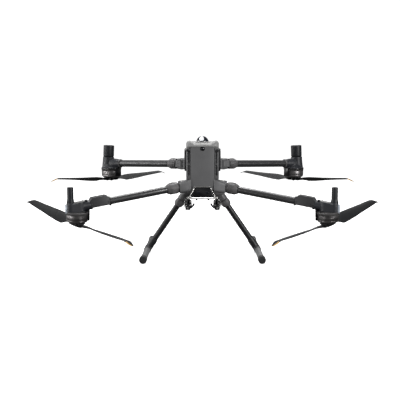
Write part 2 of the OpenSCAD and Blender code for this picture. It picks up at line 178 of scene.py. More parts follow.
def bumped(tree, height, strength, distance, **normal):
    links = {"Strength": strength, "Distance": distance, "Height": height, **normal}
    return add(tree, "Bump", links).outputs["Normal"]


def scaled(colour, k):
    return tuple(min(1.0, c * k) for c in colour)


def spread(tree, factor, colour, dark, light):
    """The colour, darker and lighter in patches."""
    return ramp(tree, factor, [(0.3, scaled(colour, dark)), (0.7, scaled(colour, light))])


def principled(name, **sockets):
    material = bpy.data.materials.new(name)
    material.use_nodes = True
    tree = material.node_tree
    shader = tree.nodes["Principled BSDF"]
    for key, value in sockets.items():
        shader.inputs[key.replace("_", " ")].default_value = value
    return material, tree, shader


def finished(made, colour, gloss, relief=None):
    """The material, with its colour, roughness and bump plugged in."""
    material, tree, shader = made
    for socket, value in (("Base Color", colour), ("Roughness", gloss), ("Normal", relief)):
        if value:
            tree.links.new(value, shader.inputs[socket])
    return material


def object_coords(tree):
    return add(tree, "TexCoord").outputs["Object"]


def uv_in_mm(tree):
    return add(tree, "SeparateXYZ", {0: add(tree, "UVMap", uv_map="map").outputs["UV"]}).outputs


def moulded(name, colour, rough, grain=900.0, bump=0.12, mottle=0.12, wear=0.35, speck=0.0, **sockets):
    """Painted or moulded surface: mottled colour, grained gloss, worn and softened edges."""
    made = principled(name, **sockets)
    tree = made[1]
    coords = object_coords(tree)
    broad = noise_map(tree, coords, 22.0, 4.0)
    fine = noise_map(tree, coords, grain, 2.0)
    patch = noise_map(tree, coords, 90.0, 5.0, 0.65)
    base = spread(tree, broad, colour, 1 - mottle, 1 + mottle)
    if speck:
        flake = ramp(tree, noise_map(tree, coords, grain * 1.6, 1.0), [(0.58, 0.0), (0.72, 1.0)])
        base = blend_colour(tree, times(tree, flake, speck), base, scaled(colour, 2.4))
    edge = soft_edge(tree, 0.0008)
    face = add(tree, "NewGeometry").outputs["Normal"]
    facing = add(tree, "VectorMath", {0: edge, 1: face}, operation="DOT_PRODUCT").outputs["Value"]
    worn = ramp(tree, facing, [(0.80, 1.0), (0.985, 0.0)])
    worn = times(tree, worn, ramp(tree, patch, [(0.42, 0.15), (0.62, 1.0)]))
    base = blend_colour(tree, times(tree, worn, wear), base, scaled(colour, 2.2))
    gloss = mapped(tree, patch, 0.3, 0.7, rough - 0.07, rough + 0.09)
    return finished(made, base, gloss, bumped(tree, fine, bump, 0.0004, Normal=edge))


def carbon(name):
    """Twill carbon fibre under clear resin, drawn on the UV map's millimetres."""
    tow, colour = 1.7, (0.030, 0.030, 0.032)
    made = principled(name, Coat_Weight=0.6, Coat_Roughness=0.12)
    tree = made[1]
    across, along = uv_in_mm(tree)[:2]
    u, v = (math_node(tree, "DIVIDE", way, tow) for way in (across, along))
    step = math_node(tree, "ADD", math_node(tree, "FLOOR", u), math_node(tree, "FLOOR", v))
    twill = math_node(tree, "FRACT", math_node(tree, "DIVIDE", step, 4.0))
    over = math_node(tree, "LESS_THAN", twill, 0.49)
    arches = [math_node(tree, "SINE", times(tree, math_node(tree, "FRACT", way), math.pi))
              for way in (u, v)]
    height = choice(tree, over, *arches)
    strand = choice(tree, over, *[math_node(tree, "SINE", times(tree, way, 14.0))
                                  for way in (across, along)])
    tone = choice(tree, over, 0.75, 1.35)
    drift = mapped(tree, noise_map(tree, object_coords(tree), 35.0), 0.3, 0.7, 0.8, 1.25)
    tone = times(tree, tone, drift)
    base = blend_colour(tree, times(tree, tone, 0.5), (0.0, 0.0, 0.0), scaled(colour, 2.0))
    gloss = mapped(tree, strand, -1.0, 1.0, 0.30, 0.46)
    relief = math_node(tree, "ADD", height, times(tree, strand, 0.08))
    return finished(made, base, gloss, bumped(tree, relief, 0.35, 0.0003))


def turned_metal(name, colour, rough):
    """Machined metal: fine rings stacked along the object's Z axis, and smudges."""
    made = principled(name, Metallic=1.0, Anisotropic=0.4)
    tree = made[1]
    coords = object_coords(tree)
    height = add(tree, "SeparateXYZ", {0: coords}).outputs[2]
    lines = noise_map(tree, add(tree, "CombineXYZ", {2: height}).outputs[0], 2600.0, 2.0)
    smudge = noise_map(tree, coords, 60.0, 4.0)
    base = spread(tree, smudge, colour, 0.8, 1.15)
    both = math_node(tree, "ADD", times(tree, lines, 0.5), times(tree, smudge, 0.5))
    gloss = mapped(tree, both, 0.3, 0.7, rough - 0.08, rough + 0.1)
    relief = bumped(tree, lines, 0.08, 0.0002, Normal=soft_edge(tree, 0.0005))
    return finished(made, base, gloss, relief)


def glossy(name, colour, rough=0.12, **sockets):
    """Smooth plastic or glass with faint haze and dust."""
    made = principled(name, **sockets)
    tree = made[1]
    coords = object_coords(tree)
    haze = noise_map(tree, coords, 70.0, 5.0)
    dust = ramp(tree, noise_map(tree, coords, 2400.0, 1.0), [(0.66, 0.0), (0.78, 0.5)])
    base = blend_colour(tree, dust, colour, scaled(tuple(c + 0.02 for c in colour), 2.0))
    return finished(made, base, mapped(tree, haze, 0.3, 0.75, rough * 0.6, rough * 1.8))


def blade_material():
    """Fibre-filled blade with a gold rim at the tip, drawn on the UV map's millimetres."""
    dark, gold = (0.014, 0.0145, 0.0155), (0.62, 0.38, 0.12)
    made = principled("blade_fibre", Specular_IOR_Level=0.12)
    tree = made[1]
    across, along = uv_in_mm(tree)[:2]
    coords = object_coords(tree)
    stretched = add(tree, "CombineXYZ", {0: times(tree, across, 1.4), 1: times(tree, along, 0.06)})
    fibre = noise_map(tree, stretched.outputs[0], 1.0, 4.0, 0.7)
    broad = noise_map(tree, coords, 25.0)
    base = spread(tree, fibre, dark, 0.75, 1.35)
    base = blend_colour(tree, ramp(tree, broad, [(0.4, 0.0), (0.7, 0.25)]), base, scaled(dark, 1.8))
    tip = mapped(tree, along, 229.0, 230.0, 0.0, 1.0)
    rim = math_node(tree, "ABSOLUTE", math_node(tree, "SUBTRACT", across, 22.5))
    rim = mapped(tree, rim, 15.5, 16.5, 0.0, 1.0)
    base = blend_colour(tree, times(tree, tip, rim), base, gold)
    gloss = mapped(tree, fibre, 0.3, 0.7, 0.34, 0.5)
    return finished(made, base, gloss, bumped(tree, fibre, 0.12, 0.0003))


def board_material():
    """Green solder mask with paler tracks."""
    made = principled("solder_mask", Coat_Weight=0.3)
    tree = made[1]
    cells = add(tree, "TexVoronoi", {"Vector": object_coords(tree), "Scale": 160.0},
                distance="MANHATTAN", feature="DISTANCE_TO_EDGE").outputs["Distance"]
    tracks = ramp(tree, cells, [(0.03, 1.0), (0.06, 0.0)])
    base = blend_colour(tree, tracks, (0.006, 0.05, 0.02), (0.02, 0.12, 0.05))
    return finished(made, base, mapped(tree, cells, 0.0, 1.0, 0.3, 0.5))


PAINTS = {
    "nose": moulded("nose_paint", (0.158, 0.158, 0.161), 0.46, bump=0.05, mottle=0.05, wear=0.3),
    "graphite": moulded("graphite_paint", (0.115, 0.115, 0.118), 0.48, speck=0.1),
    "pale": moulded("pale_paint", (0.355, 0.355, 0.352), 0.5, mottle=0.06, wear=0.1,
                    Specular_IOR_Level=0.35),
    "black": moulded("black_plastic", (0.016, 0.016, 0.018), 0.42, bump=0.25, wear=0.5),
    "gloss": glossy("gloss_black", (0.006, 0.006, 0.008), 0.12, Specular_IOR_Level=0.6),
    "dome": glossy("smoked_lens", (0.004, 0.006, 0.012), 0.05, Coat_Weight=0.6),
    "beacon": glossy("smoked_dome", (0.005, 0.008, 0.016), 0.06, IOR=1.7),
    # painted highlight: white, faintly glowing, standing for a softbox's reflection on the beacon dome; it
    # is no lamp
    "painted_reflection": glossy("painted_highlight", (0.88, 0.90, 0.93), 0.2, Emission_Strength=0.22,
                   Emission_Color=(1, 1, 1, 1)),
    "casting": moulded("cast_paint", (0.115, 0.112, 0.114), 0.42, grain=500.0, bump=0.2, speck=0.3,
                       mottle=0.14),
    "fork": moulded("fork_paint", (0.150, 0.150, 0.154), 0.46, bump=0.06, mottle=0.06, wear=0.25),
    "collar": moulded("collar_paint", (0.128, 0.124, 0.126), 0.46, grain=420.0, bump=0.3, speck=0.3,
                      mottle=0.15),
    "patch": moulded("patch_paint", (0.22, 0.218, 0.215), 0.4, grain=500.0, bump=0.2, mottle=0.25),
    "leg": moulded("leg_finish", (0.018, 0.018, 0.020), 0.36, grain=1200.0, bump=0.1, wear=0.2),
    "skid": moulded("skid_finish", (0.12, 0.12, 0.122), 0.4, bump=0.1, wear=0.3),
    "rubber": moulded("rubber", (0.022, 0.022, 0.023), 0.7, grain=700.0, bump=0.4, wear=0.1),
    "pod": moulded("pod_plastic", (0.024, 0.026, 0.032), 0.42, bump=0.14, wear=0.5),
    "antenna": moulded("antenna_plastic", (0.014, 0.0155, 0.019), 0.46, bump=0.1, wear=0.6,
                       Specular_IOR_Level=0.35),
    "module": moulded("module_plastic", (0.034, 0.034, 0.036), 0.40, bump=0.2, wear=0.6),
    "base": moulded("motor_base_paint", (0.075, 0.072, 0.072), 0.4, grain=600.0, speck=0.3),
    "battery": moulded("battery_case", (0.07, 0.07, 0.074), 0.48, bump=0.25),
    "steel": turned_metal("bright_steel", (0.72, 0.71, 0.69), 0.24),
    "bell": turned_metal("bell_metal", (0.215, 0.206, 0.206), 0.33),
    "copper": turned_metal("winding_copper", (0.55, 0.22, 0.10), 0.35),
    "carbon": carbon("carbon_weave"),
    "blade": blade_material(),
    "board": board_material(),
    "lamp": glossy("lamp_lens", (0.62, 0.68, 0.76), 0.2, Transmission_Weight=0.35),
}

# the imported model's slot for each paint, where a piece doesn't name another
SLOTS = {
    "nose": "graphite_shell", "graphite": "graphite_shell", "pale": "pale_shell",
    "black": "black_plastic", "gloss": "gloss_black", "dome": "smoked_dome",
    "beacon": "smoked_dome", "painted_reflection": "smoked_dome", "casting": "painted_casting",
    "fork": "painted_casting", "collar": "lock_collar", "patch": "pod_plastic",
    "leg": "leg_tube", "skid": "skid_tube", "rubber": "rubber", "pod": "pod_plastic",
    "antenna": "pod_plastic", "module": "pod_plastic", "base": "motor_base",
    "battery": "battery_case", "steel": "bright_steel", "bell": "motor_bell",
    "copper": "motor_base", "carbon": "carbon_tube", "blade": "blade", "board": "circuit_board",
    "lamp": "pod_plastic",
}


# ---------------------------------------------------------------- meshes
def polar(radius, degrees):
    return radius * math.cos(math.radians(degrees)), radius * math.sin(math.radians(degrees))


def rounded(points, steps=4):
    """Outline with each corner (x, y, radius) turned into an arc."""
    out = []
    for i, (x, y, radius) in enumerate(points):
        corner = Vector((x, y))
        back = Vector(points[i - 1][:2]) - corner
        ahead = Vector(points[(i + 1) % len(points)][:2]) - corner
        reach = 0.49 * min(back.length, ahead.length)
        back.normalize()
        ahead.normalize()
        half = back.angle(ahead) / 2
        if radius <= 0 or half > 1.56:
            out.append(tuple(corner))
            continue
        cut = min(radius / math.tan(half), reach)
        radius = cut * math.tan(half)
        centre = corner + (back + ahead).normalized() * (radius / math.sin(half))
        spokes = [corner + side * cut - centre for side in (back, ahead)]
        first, last = (math.atan2(s.y, s.x) for s in spokes)
        sweep = (last - first + math.pi) % (2 * math.pi) - math.pi
        for k in range(steps + 1):
            angle = first + sweep * k / steps
            out.append((centre.x + radius * math.cos(angle), centre.y + radius * math.sin(angle)))
    return out


def box_outline(x0, x1, y0, y1, radius=0.0, steps=4):
    return rounded([(x0, y0, radius), (x1, y0, radius), (x1, y1, radius), (x0, y1, radius)], steps)


def skin(rings, closed=False, lengths=None, widths=None):
    """Quads between equal rings of points; single-point rings close to a tip. UVs are in mm."""
    bm = bmesh.new()
    uv = bm.loops.layers.uv.new("map")
    rows = [[bm.verts.new(p) for p in ring] for ring in rings]
    count = max(len(r) for r in rows)
    lengths = lengths or list(range(len(rings) + 1))
    widths = widths or list(range(count + 1))
    last = len(rows) if closed else len(rows) - 1
    for i in range(last):
        a, b = rows[i], rows[(i + 1) % len(rows)]
        if len(a) == 1 and len(b) == 1:
            continue
        for k in range(count):
            n = (k + 1) % count
            corners = [(a[k % len(a)], k, i), (a[n % len(a)], k + 1, i),
                       (b[n % len(b)], k + 1, i + 1), (b[k % len(b)], k, i + 1)]
            if len(a) == 1:
                corners.pop(1)
            if len(b) == 1:
                corners.pop(2)
            face = bm.faces.new([c[0] for c in corners])
            for loop, (_, across, along) in zip(face.loops, corners):
                loop[uv].uv = (widths[across], lengths[along])
    for row in () if closed else (rows[0], rows[-1]):
        if len(row) > 2:
            bm.faces.new(row)
    bmesh.ops.recalc_face_normals(bm, faces=bm.faces)
    return bm


def lathe(profile, segments=64):
    """Solid of revolution about Z from a closed (radius, height) outline."""
    rings, lengths, travelled = [], [0.0], 0.0
    for i, (radius, height) in enumerate(profile):
        if radius < 1e-6:
            rings.append([(0, 0, height)])
        else:
            turns = [k * math.tau / segments for k in range(segments)]
            rings.append([(radius * math.cos(a), radius * math.sin(a), height) for a in turns])
        ahead = profile[(i + 1) % len(profile)]
        travelled += math.hypot(ahead[0] - radius, ahead[1] - height)
        lengths.append(travelled)
    around = math.tau * max(p[0] for p in profile)
    return skin(rings, True, lengths, [around * k / segments for k in range(segments + 1)])


def turned(points, segments=64, steps=3):
    """Solid of revolution about Z from (radius, height, corner radius) points."""
    return lathe(rounded(points, steps), segments)


def disc(radius, low, high, bevel=0.8, segments=48, bore=0.0):
    """Round plate or ring with rounded rims."""
    rims = [(radius, low, bevel), (radius, high, bevel)]
    if bore:
        return turned([(bore, low, 0.2), *rims, (bore, high, 0.2)], segments)
    return turned([*rims, (0, high, 0), (0, low, 0)], segments)


def pipe(radius, start, end, segments):
    """Straight tube about Z with a 1.5 mm wall."""
    inner = radius - 1.5
    return lathe([(inner, start), (radius, start), (radius, end), (inner, end)], segments)


def band(inner, outer, low, high, segments=64, steps=3, soft=0.2, edge=0.3):
    """Thin ring whose outer rims are softer than its inner ones."""
    return turned([(inner, low, soft), (outer, low, edge), (outer, high, edge), (inner, high, soft)],
                  segments, steps)


def blank_mesh():
    bm = bmesh.new()
    bm.loops.layers.uv.new("map")
    return bm


def prism(outline, low, high, bevel=0.6, steps=2):
    """Outline in X and Y, extruded from low to high, with rounded rims."""
    bm = blank_mesh()
    face = bm.faces.new([bm.verts.new((x, y, low)) for x, y in outline])
    grown = bmesh.ops.extrude_face_region(bm, geom=[face])["geom"]
    for vert in (g for g in grown if isinstance(g, bmesh.types.BMVert)):
        vert.co.z = high
    bmesh.ops.recalc_face_normals(bm, faces=bm.faces)
    if bevel:
        rims = [e for e in bm.edges if abs(e.verts[0].co.z - e.verts[1].co.z) < 1e-6]
        bmesh.ops.bevel(bm, geom=rims, offset=bevel, segments=steps, profile=0.5,
                        affect="EDGES", clamp_overlap=True)
    return bm


def slab(x0, x1, y0, y1, low, high, corner=0.0, bevel=0.6, arc=4, steps=2):
    """Box with rounded corners in plan and bevelled rims."""
    return prism(box_outline(x0, x1, y0, y1, corner, arc), low, high, bevel, steps)


def tube(points, radius, sides=12):
    """Round bar along a polyline, with flat ends."""
    points = [Vector(p) for p in points]
    rings, lengths = [], [0.0]
    normal = None
    for i, point in enumerate(points):
        ahead = (points[min(i + 1, len(points) - 1)] - points[max(i - 1, 0)]).normalized()
        if normal is None:
            normal = ahead.orthogonal().normalized()
        normal = (normal - ahead * normal.dot(ahead)).normalized()
        other = ahead.cross(normal)
        rings.append([point + radius * (math.cos(k * math.tau / sides) * normal +
                                        math.sin(k * math.tau / sides) * other)
                      for k in range(sides)])
        lengths.append(lengths[-1] + (point - points[i - 1]).length if i else 0.0)
    around = [math.tau * radius * k / sides for k in range(sides + 1)]
    return skin(rings, lengths=lengths[1:] + [0.0], widths=around)


def bent(corners, radius=4.0, steps=4):
    """Polyline in space with its inner corners rounded."""
    corners = [Vector(c) for c in corners]
    out = [corners[0]]
    for a, b, c in zip(corners, corners[1:], corners[2:]):
        cut = min(radius, 0.45 * (b - a).length, 0.45 * (c - b).length)
        start, end = b + (a - b).normalized() * cut, b + (c - b).normalized() * cut
        for k in range(steps + 1):
            t = k / steps
            out.append(start * (1 - t) ** 2 + b * 2 * t * (1 - t) + end * t * t)
    return out + [corners[-1]]


def ring_patch(inner, outer, low, high, first, last, bevel=0.5):
    """Curved block on a cylinder about Z, between two angles in degrees."""
    steps = max(2, int((last - first) / 6))
    angles = [math.radians(first + (last - first) * k / steps) for k in range(steps + 1)]
    outline = [(outer * math.cos(a), outer * math.sin(a)) for a in angles]
    outline += [(inner * math.cos(a), inner * math.sin(a)) for a in reversed(angles)]
    return prism(outline, low, high, bevel)


def placed(bm, matrix):
    bm.transform(matrix)
    if matrix.determinant() < 0:
        bmesh.ops.reverse_faces(bm, faces=bm.faces)
    return bm


def repeated(places, build, *shape, **more):
    """The same shape at several places, each given as (x, y, z)."""
    return [placed(build(*shape, **more), move(*place)) for place in places]


def joined(*meshes):
    """All the meshes as one, without merging them."""
    out = blank_mesh()
    for bm in meshes:
        mesh = bpy.data.meshes.new("part")
        bm.to_mesh(mesh)
        out.from_mesh(mesh)
        bpy.data.meshes.remove(mesh)
        bm.free()
    return out


def modified(bm, *steps):
    """The mesh after Blender modifiers, each given as (type, settings)."""
    mesh = bpy.data.meshes.new("work")
    bm.to_mesh(mesh)
    bm.free()
    work = bpy.data.objects.new("work", mesh)
    bpy.context.scene.collection.objects.link(work)
    tools = []
    for kind, settings in steps:
        modifier = work.modifiers.new(kind, kind)
        for key, value in settings.items():
            if key == "object":
                tool = bpy.data.meshes.new("tool")
                value.to_mesh(tool)
                value.free()
                value = bpy.data.objects.new("tool", tool)
                bpy.context.scene.collection.objects.link(value)
                tools.append(value)
            setattr(modifier, key, value)
    depsgraph = bpy.context.evaluated_depsgraph_get()
    result = bmesh.new()
    result.from_mesh(work.evaluated_get(depsgraph).to_mesh())
    for obj in [work, *tools]:
        data = obj.data
        bpy.data.objects.remove(obj)
        bpy.data.meshes.remove(data)
    return result


def cut(bm, *tools, operation="DIFFERENCE"):
    """The mesh less each tool in turn."""
    for tool in tools:
        bm = modified(bm, ("BOOLEAN", {"object": tool, "operation": operation, "solver": "EXACT"}))
    return bm


def fused(meshes, voxel, smooth, thin):
    """The meshes as one skin with soft fillets between them."""
    bm = modified(joined(*meshes), ("REMESH", {"mode": "VOXEL", "voxel_size": voxel}),
                  ("SMOOTH", {"factor": 0.5, "iterations": smooth}))
    return modified(bm, ("DECIMATE", {"ratio": thin}))


def sliced(bm, axis, places):
    """Extra edges across the mesh, so that it can be bent."""
    normal = Vector([1.0 if i == axis else 0.0 for i in range(3)])
    for place in places:
        geometry = bm.verts[:] + bm.edges[:] + bm.faces[:]
        bmesh.ops.bisect_plane(bm, geom=geometry, plane_co=normal * place, plane_no=normal)
    return bm


BODY = "fuselage"


def piece(name, bm, paint, place=HERE, stands_for=(), body=BODY, sharp=34, slot=None):
    """Puts a mesh in millimetres in its place, riding on its body, and frees it."""
    placed(bm, MM @ place)
    limit = math.radians(sharp)
    for face in bm.faces:
        face.smooth = True
    for edge in bm.edges:
        if len(edge.link_faces) == 2:
            edge.smooth = edge.calc_face_angle(0.0) < limit
    mesh = bpy.data.meshes.new(name)
    bm.to_mesh(mesh)
    bm.free()
    mesh.materials.append(PAINTS[paint])
    obj = bpy.data.objects.new(name, mesh)
    bpy.context.scene.collection.objects.link(obj)
    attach(obj, body)
    slot or SLOTS[paint]
    if stands_for:
        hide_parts(*stands_for)
    return obj


def pair(name, build, paint, place=HERE, stands_for=(), body=BODY, **settings):
    """A piece and its mirror image; {} in a name is the side."""
    for side, mirror in SIDES.items():
        piece(name + "_" + side, build(), paint, mirror @ place, [n.format(side) for n in stands_for],
              body.format(side), **settings)


# ---------------------------------------------------------------- fuselage
FRAME_LOW, FRAME_HIGH = box_mm("body_frame")
NOSE_LOW, NOSE_HIGH = box_mm("nose_cover")
TOP_LOW, TOP_HIGH = box_mm("top_cover")
HALF_W = FRAME_HIGH.x
HATCH_Z = (272, 342)  # foot and top of the flank panels


def ease(a, b, x):
    t = min(1.0, max(0.0, (x - a) / (b - a)))
    return t * t * (3 - 2 * t)


def trapezium(wide, low, top, slant, foot_r, top_r):
    return [(-wide, low, foot_r), (-wide + slant, top, top_r), (wide - slant, top, top_r),
            (wide, low, foot_r)]


def nose_cover():
    """Smooth crowned front plate with a camera bore and a window cut."""
    half, low, high = NOSE_HIGH.x, NOSE_LOW.z, TOP_LOW.z + 11.5
    window = box_mm("nose_window")[1]
    eye_z, eye_r, crown_z = 355.0, 7.4, 318
    eye = [(x, eye_z + z) for x, z in (polar(eye_r, a) for a in range(0, 360, 15))]
    outline = rounded([(-half, low, 1.5), *trapezium(window.x + 0.4, low, window.z + 0.5, 8.8, 0.5, 1.5),
                       (half, low, 1.5), (half, high, 2), (-half, high, 2)], 3)
    plate = prism(outline, -NOSE_HIGH.y, -NOSE_LOW.y, 1.2, 3)
    plate = cut(plate, prism(eye, -NOSE_HIGH.y - 5, -NOSE_LOW.y + 5, 0))
    sliced(plate, 0, range(-32, 33, 4))
    sliced(plate, 1, range(int(low) + 6, int(high), 12))
    for vert in plate.verts:
        x, z, out = vert.co
        share = (out + NOSE_HIGH.y) / (NOSE_HIGH.y - NOSE_LOW.y)
        sag = x * x / 330 + 5.0 * (min(0.0, z - crown_z) / 90) ** 2
        vert.co.z -= sag * max(0.0, share)
    piece("nose_cover_shell", plate, "nose", STAND, ["nose_cover"], sharp=40)


def nose_window():
    low, high = box_mm("nose_window")
    wide, top = high.x - 1.0, high.z - 0.6
    eyes = [(x, low.z + 15) for x in (-14, 14)]
    outline = [(-wide, low.z, 1), (wide, low.z, 1), (wide - 8.6, top, 2), (-wide + 8.6, top, 2)]
    pane = prism(rounded(outline, 3), -high.y, -low.y - 1.0, 0.8)
    sensors = repeated([(x, z, -low.y - 1.6) for x, z in eyes], disc, 6.5, 0, 0.8, 0.15, bore=4.8)
    piece("nose_window_pane", joined(pane, *sensors), "gloss", STAND, ["nose_window"])
    lenses = repeated([(x, z, -low.y - 1.4) for x, z in eyes], disc, 4.6, -0.5, 0.5, 0.3)
    piece("nose_window_lenses", joined(*lenses), "dome", STAND)


def nose_side_trims():
    """Corner strips, each with two slots that hold a black grille."""
    trim_low, trim_high = box_mm("nose_side_trims")
    wide, front, back, foot = trim_high.x, trim_low.y, trim_high.y, trim_low.z
    inner = NOSE_HIGH.x + 0.5
    slots = [(foot + 11.5, foot + 43.5), (foot + 47.5, foot + 88.5)]

    def strip():
        plan = rounded([(inner, front, 1), (wide, front, 8), (wide, back, 1), (wide - 5, back, 0.5),
                        (wide - 5, front + 8, 3), (inner, front + 8, 0.5)], 5)
        holes = [placed(slab(inner + 2.2, inner + 9.2, low, high, -front - 4, -front + 6, 2.5, 0),
                        STAND) for low, high in slots]
        return cut(prism(plan, foot, trim_high.z + 3, 1.0), *holes)

    pair("nose_side_trim", strip, "graphite", stands_for=["nose_side_trims"])

    def grille():
        parts = []
        for low, high in slots:
            parts.append(slab(inner + 1.6, inner + 9.8, low - 1, high + 1, -front - 6, -front - 4.4,
                              bevel=0.2))
            rows = int((high - low) / 4.2)
            for k in range(rows):
                z = low + (k + 0.5) * (high - low) / rows
                parts.append(slab(inner + 2, inner + 9.4, z - 0.7, z + 0.7, -front - 5, -front - 2.2,
                                  bevel=0.3))
        return joined(*parts)

    pair("nose_vent_grille", grille, "black", STAND)

    def plug():
        ring = disc(4.4, -0.6, 0.8, 0.5, 32, bore=2.6)
        return placed(joined(ring, disc(2.8, -0.8, 0.1, 0.2, 32)),
                      move(wide - 5.2, trim_high.z - 3.5, -front))

    pair("nose_corner_plug", plug, "black", STAND)


def lid_height(x, y, half, near, roof):
    """Top of the roof lid: a level deck, an ear at each front corner, and soft edges."""
    low, high = TOP_LOW, TOP_HIGH
    z = roof - 2.0 + 0.8 * ease(low.y, low.y + 40, y)
    z -= 9 * ease(high.y - 34, high.y + 10, y)
    ear = ease(23, 42, abs(x)) * ease(low.y - 8, low.y + 9, y)
    ear *= 1 - ease(low.y + 52, low.y + 96, y)
    z += (high.z - z) * ear
    z -= 1.2 * (1 - ear) * (x / high.x) ** 2
    rim = max(0.0, 1 - (half - abs(x)) / 11.0)
    z -= 9.0 * (1 - math.sqrt(max(0.0, 1 - rim * rim)))
    lip = max(0.0, 1 - near / 5.0)
    return z - 3.5 * (1 - math.sqrt(max(0.0, 1 - lip * lip)))


def top_cover():
    """Pillow-shaped lid that rises to an ear at each front corner, with its bolt bores."""
    low, high = TOP_LOW, TOP_HIGH
    roof, ahead = high.z - 8, 1.2
    corner, columns, rows = 19.0, 40, 96
    rings = []
    for j in range(rows + 1):
        share = j / rows
        share = share + 0.06 * math.sin(math.tau * share) * -0.5
        y = low.y - ahead + share * (high.y - low.y + ahead)
        near = min(y - low.y + ahead, high.y - y)
        under = low.z + 0.2 + 9.0 * (1 - ease(low.y + 7.5, low.y + 9.5, y))
        half = high.x
        if near < corner:
            half -= corner - math.sqrt(max(0.0, corner ** 2 - (corner - near) ** 2))
        ring = []
        for i in range(columns + 1):
            t = math.sin((i / columns - 0.5) * math.pi) * 0.4 + (i / columns - 0.5) * 1.2
            ring.append((t * half, y, max(under + 0.8, lid_height(t * half, y, half, near, roof))))
        rings.append(ring + [(x, y, under) for x, y, _ in reversed(ring)])
    bolts = [(x, y) for x in (-25, 25) for y in (40, 100)]
    button_y = sum(c.y for c in box_mm("power_button")) / 2
    bm = cut(skin(rings), *repeated([(x, y, roof - 2.2) for x, y in bolts], disc, 3.2, -6, 14, 0, 24),
             placed(disc(10.5, -1.2, 12, 0, 48), move(0, button_y, roof)))
    piece("top_cover_shell", bm, "pale", stands_for=["top_cover"], sharp=38)
    inserts = repeated([(x, y, roof) for x, y in bolts], disc, 3.1, -5, -2.4, 0.3, 24, bore=1.6)
    piece("roof_bolt_inserts", joined(*inserts), "steel")
    ring = placed(disc(10.2, -2.0, -0.6, 0.4, bore=8.0), move(0, button_y, roof))
    lamps = repeated([(-15 + 10 * k, button_y - 22, roof) for k in range(4)], slab,
                     -3, 3, -0.9, 0.9, -0.5, 0.35, 0.8, 0.2)
    piece("power_button_ring", joined(ring, *lamps), "black")


def power_button():
    low, high = box_mm("power_button")
    cap = disc(high.x - 2.1, low.z + 2.4, high.z, 0.8)
    stem = disc(high.x, low.z, low.z + 2.1, 0.4)
    mark = [ring_patch(2.6, 3.3, high.z - 0.3, high.z + 0.15, 120, 420, 0.1),
            slab(-0.35, 0.35, 1.4, 3.8, high.z - 0.3, high.z + 0.15, bevel=0.1)]
    at = move(0, (low.y + high.y) / 2, 0)
    body = "power_button_cap"
    piece("power_button_key", joined(cap, stem), "black", at, ["power_button"], body)
    piece("power_button_mark", joined(*mark), "lamp", at, body=body, slot="black_plastic")


def beacon():
    """Dark glossy dome with a white, faintly glowing patch across its front that is a painted highlight
    standing for a softbox's reflection, on a pale collar.
    """
    low, high = box_mm("beacon_dome")
    r, at = high.x, move(0, (low.y + high.y) / 2, low.z)
    outer = [polar(r, a) for a in range(5, 90, 5)]
    piece("beacon_dome_glass", lathe([(0, 0.2), (r, 0.2), *outer, (0, r)], 96), "beacon", at,
          ["beacon_dome"])
    # rows of a white patch on the dome's front, left of centre: a painted highlight in place of a
    # reflection
    rows = []
    for k in range(13):
        lift = math.radians(14 + 50 * k / 12)
        wide = 27 * math.sin(math.pi * (k + 1.2) / 14.4) ** 0.5
        row = [(r + 0.4, -11 - wide + wide * i / 6) for i in range(13)]
        row += [(r - 0.8, angle) for _, angle in reversed(row)]
        rows.append([(out * math.cos(lift) * math.sin(math.radians(a)),
                      -out * math.cos(lift) * math.cos(math.radians(a)), out * math.sin(lift))
                     for out, a in row])
    piece("beacon_diffuser", skin(rows), "painted_reflection", at)
    collar = turned([(r - 1, -1, 0.2), (r + 3.6, -1, 0.2), (r + 3.2, 1.0, 1.0), (r + 0.5, 2.2, 0.6),
                     (r - 1, 2.2, 0.2)], 96)
    feet = [placed(disc(2.0, -0.6, 1.6, 0.4, 20), turn(a, "Z") @ move(r + 3.4, 0, 0))
            for a in range(45, 360, 90)]
    piece("beacon_dome_collar", joined(collar, *feet), "pale", at)


def camera_eye():
    """Forward camera: a shallow ring with its dark lens."""
    low, high = box_mm("fpv_camera")
    at = move(0, low.y, (low.z + high.z) / 2) @ STAND
    barrel = turned([(0, -22, 0), (6.7, -22, 0.5), (6.7, -0.6, 0.8), (5.3, -0.6, 0.6),
                     (4.6, -2.6, 0.4), (0, -2.6, 0)], 48)
    piece("fpv_camera_barrel", barrel, "black", at, ["fpv_camera"])
    lens = lathe([(0, -3), (4.5, -3), (4.3, -2.2), (3.2, -1.5), (1.7, -1.1), (0, -1.0)], 40)
    piece("fpv_camera_lens", lens, "dome", at)


def side_modules():
    """Black sensing module on each flank, with two lenses and a lamp."""
    low, high = box_mm("side_vision_modules")
    y0, y1, z0, z1 = low.y, high.y, low.z, high.z
    middle, face, eyes = (z0 + z1) / 2, high.x, (y0 + 22, y1 - 22)

    def plate():
        bm = slab(y0, y1, z0, z1, HALF_W - 0.5, face, 13, 2.2, 6, 3)
        ridge = slab(y0 + 7, y1 - 7, z0 + 7, z1 - 7, face - 1, face + 0.4, 8, 0.4, 6)
        rings = repeated([(y, middle, face - 0.6) for y in eyes], disc, 11, 0, 1.6, 0.6, bore=8)
        return joined(bm, ridge, *rings)

    pair("side_vision_plate", plate, "black", FLANK, ["side_vision_modules"])

    def lenses():
        parts = repeated([(y, middle, face - 0.3) for y in eyes], disc, 7.8, 0, 1.0, 0.8)
        lamp = placed(disc(3.4, 0, 0.9, 0.4), move((y0 + y1) / 2, middle + 12, face))
        return joined(*parts, lamp)

    pair("side_vision_lenses", lenses, "dome", FLANK)


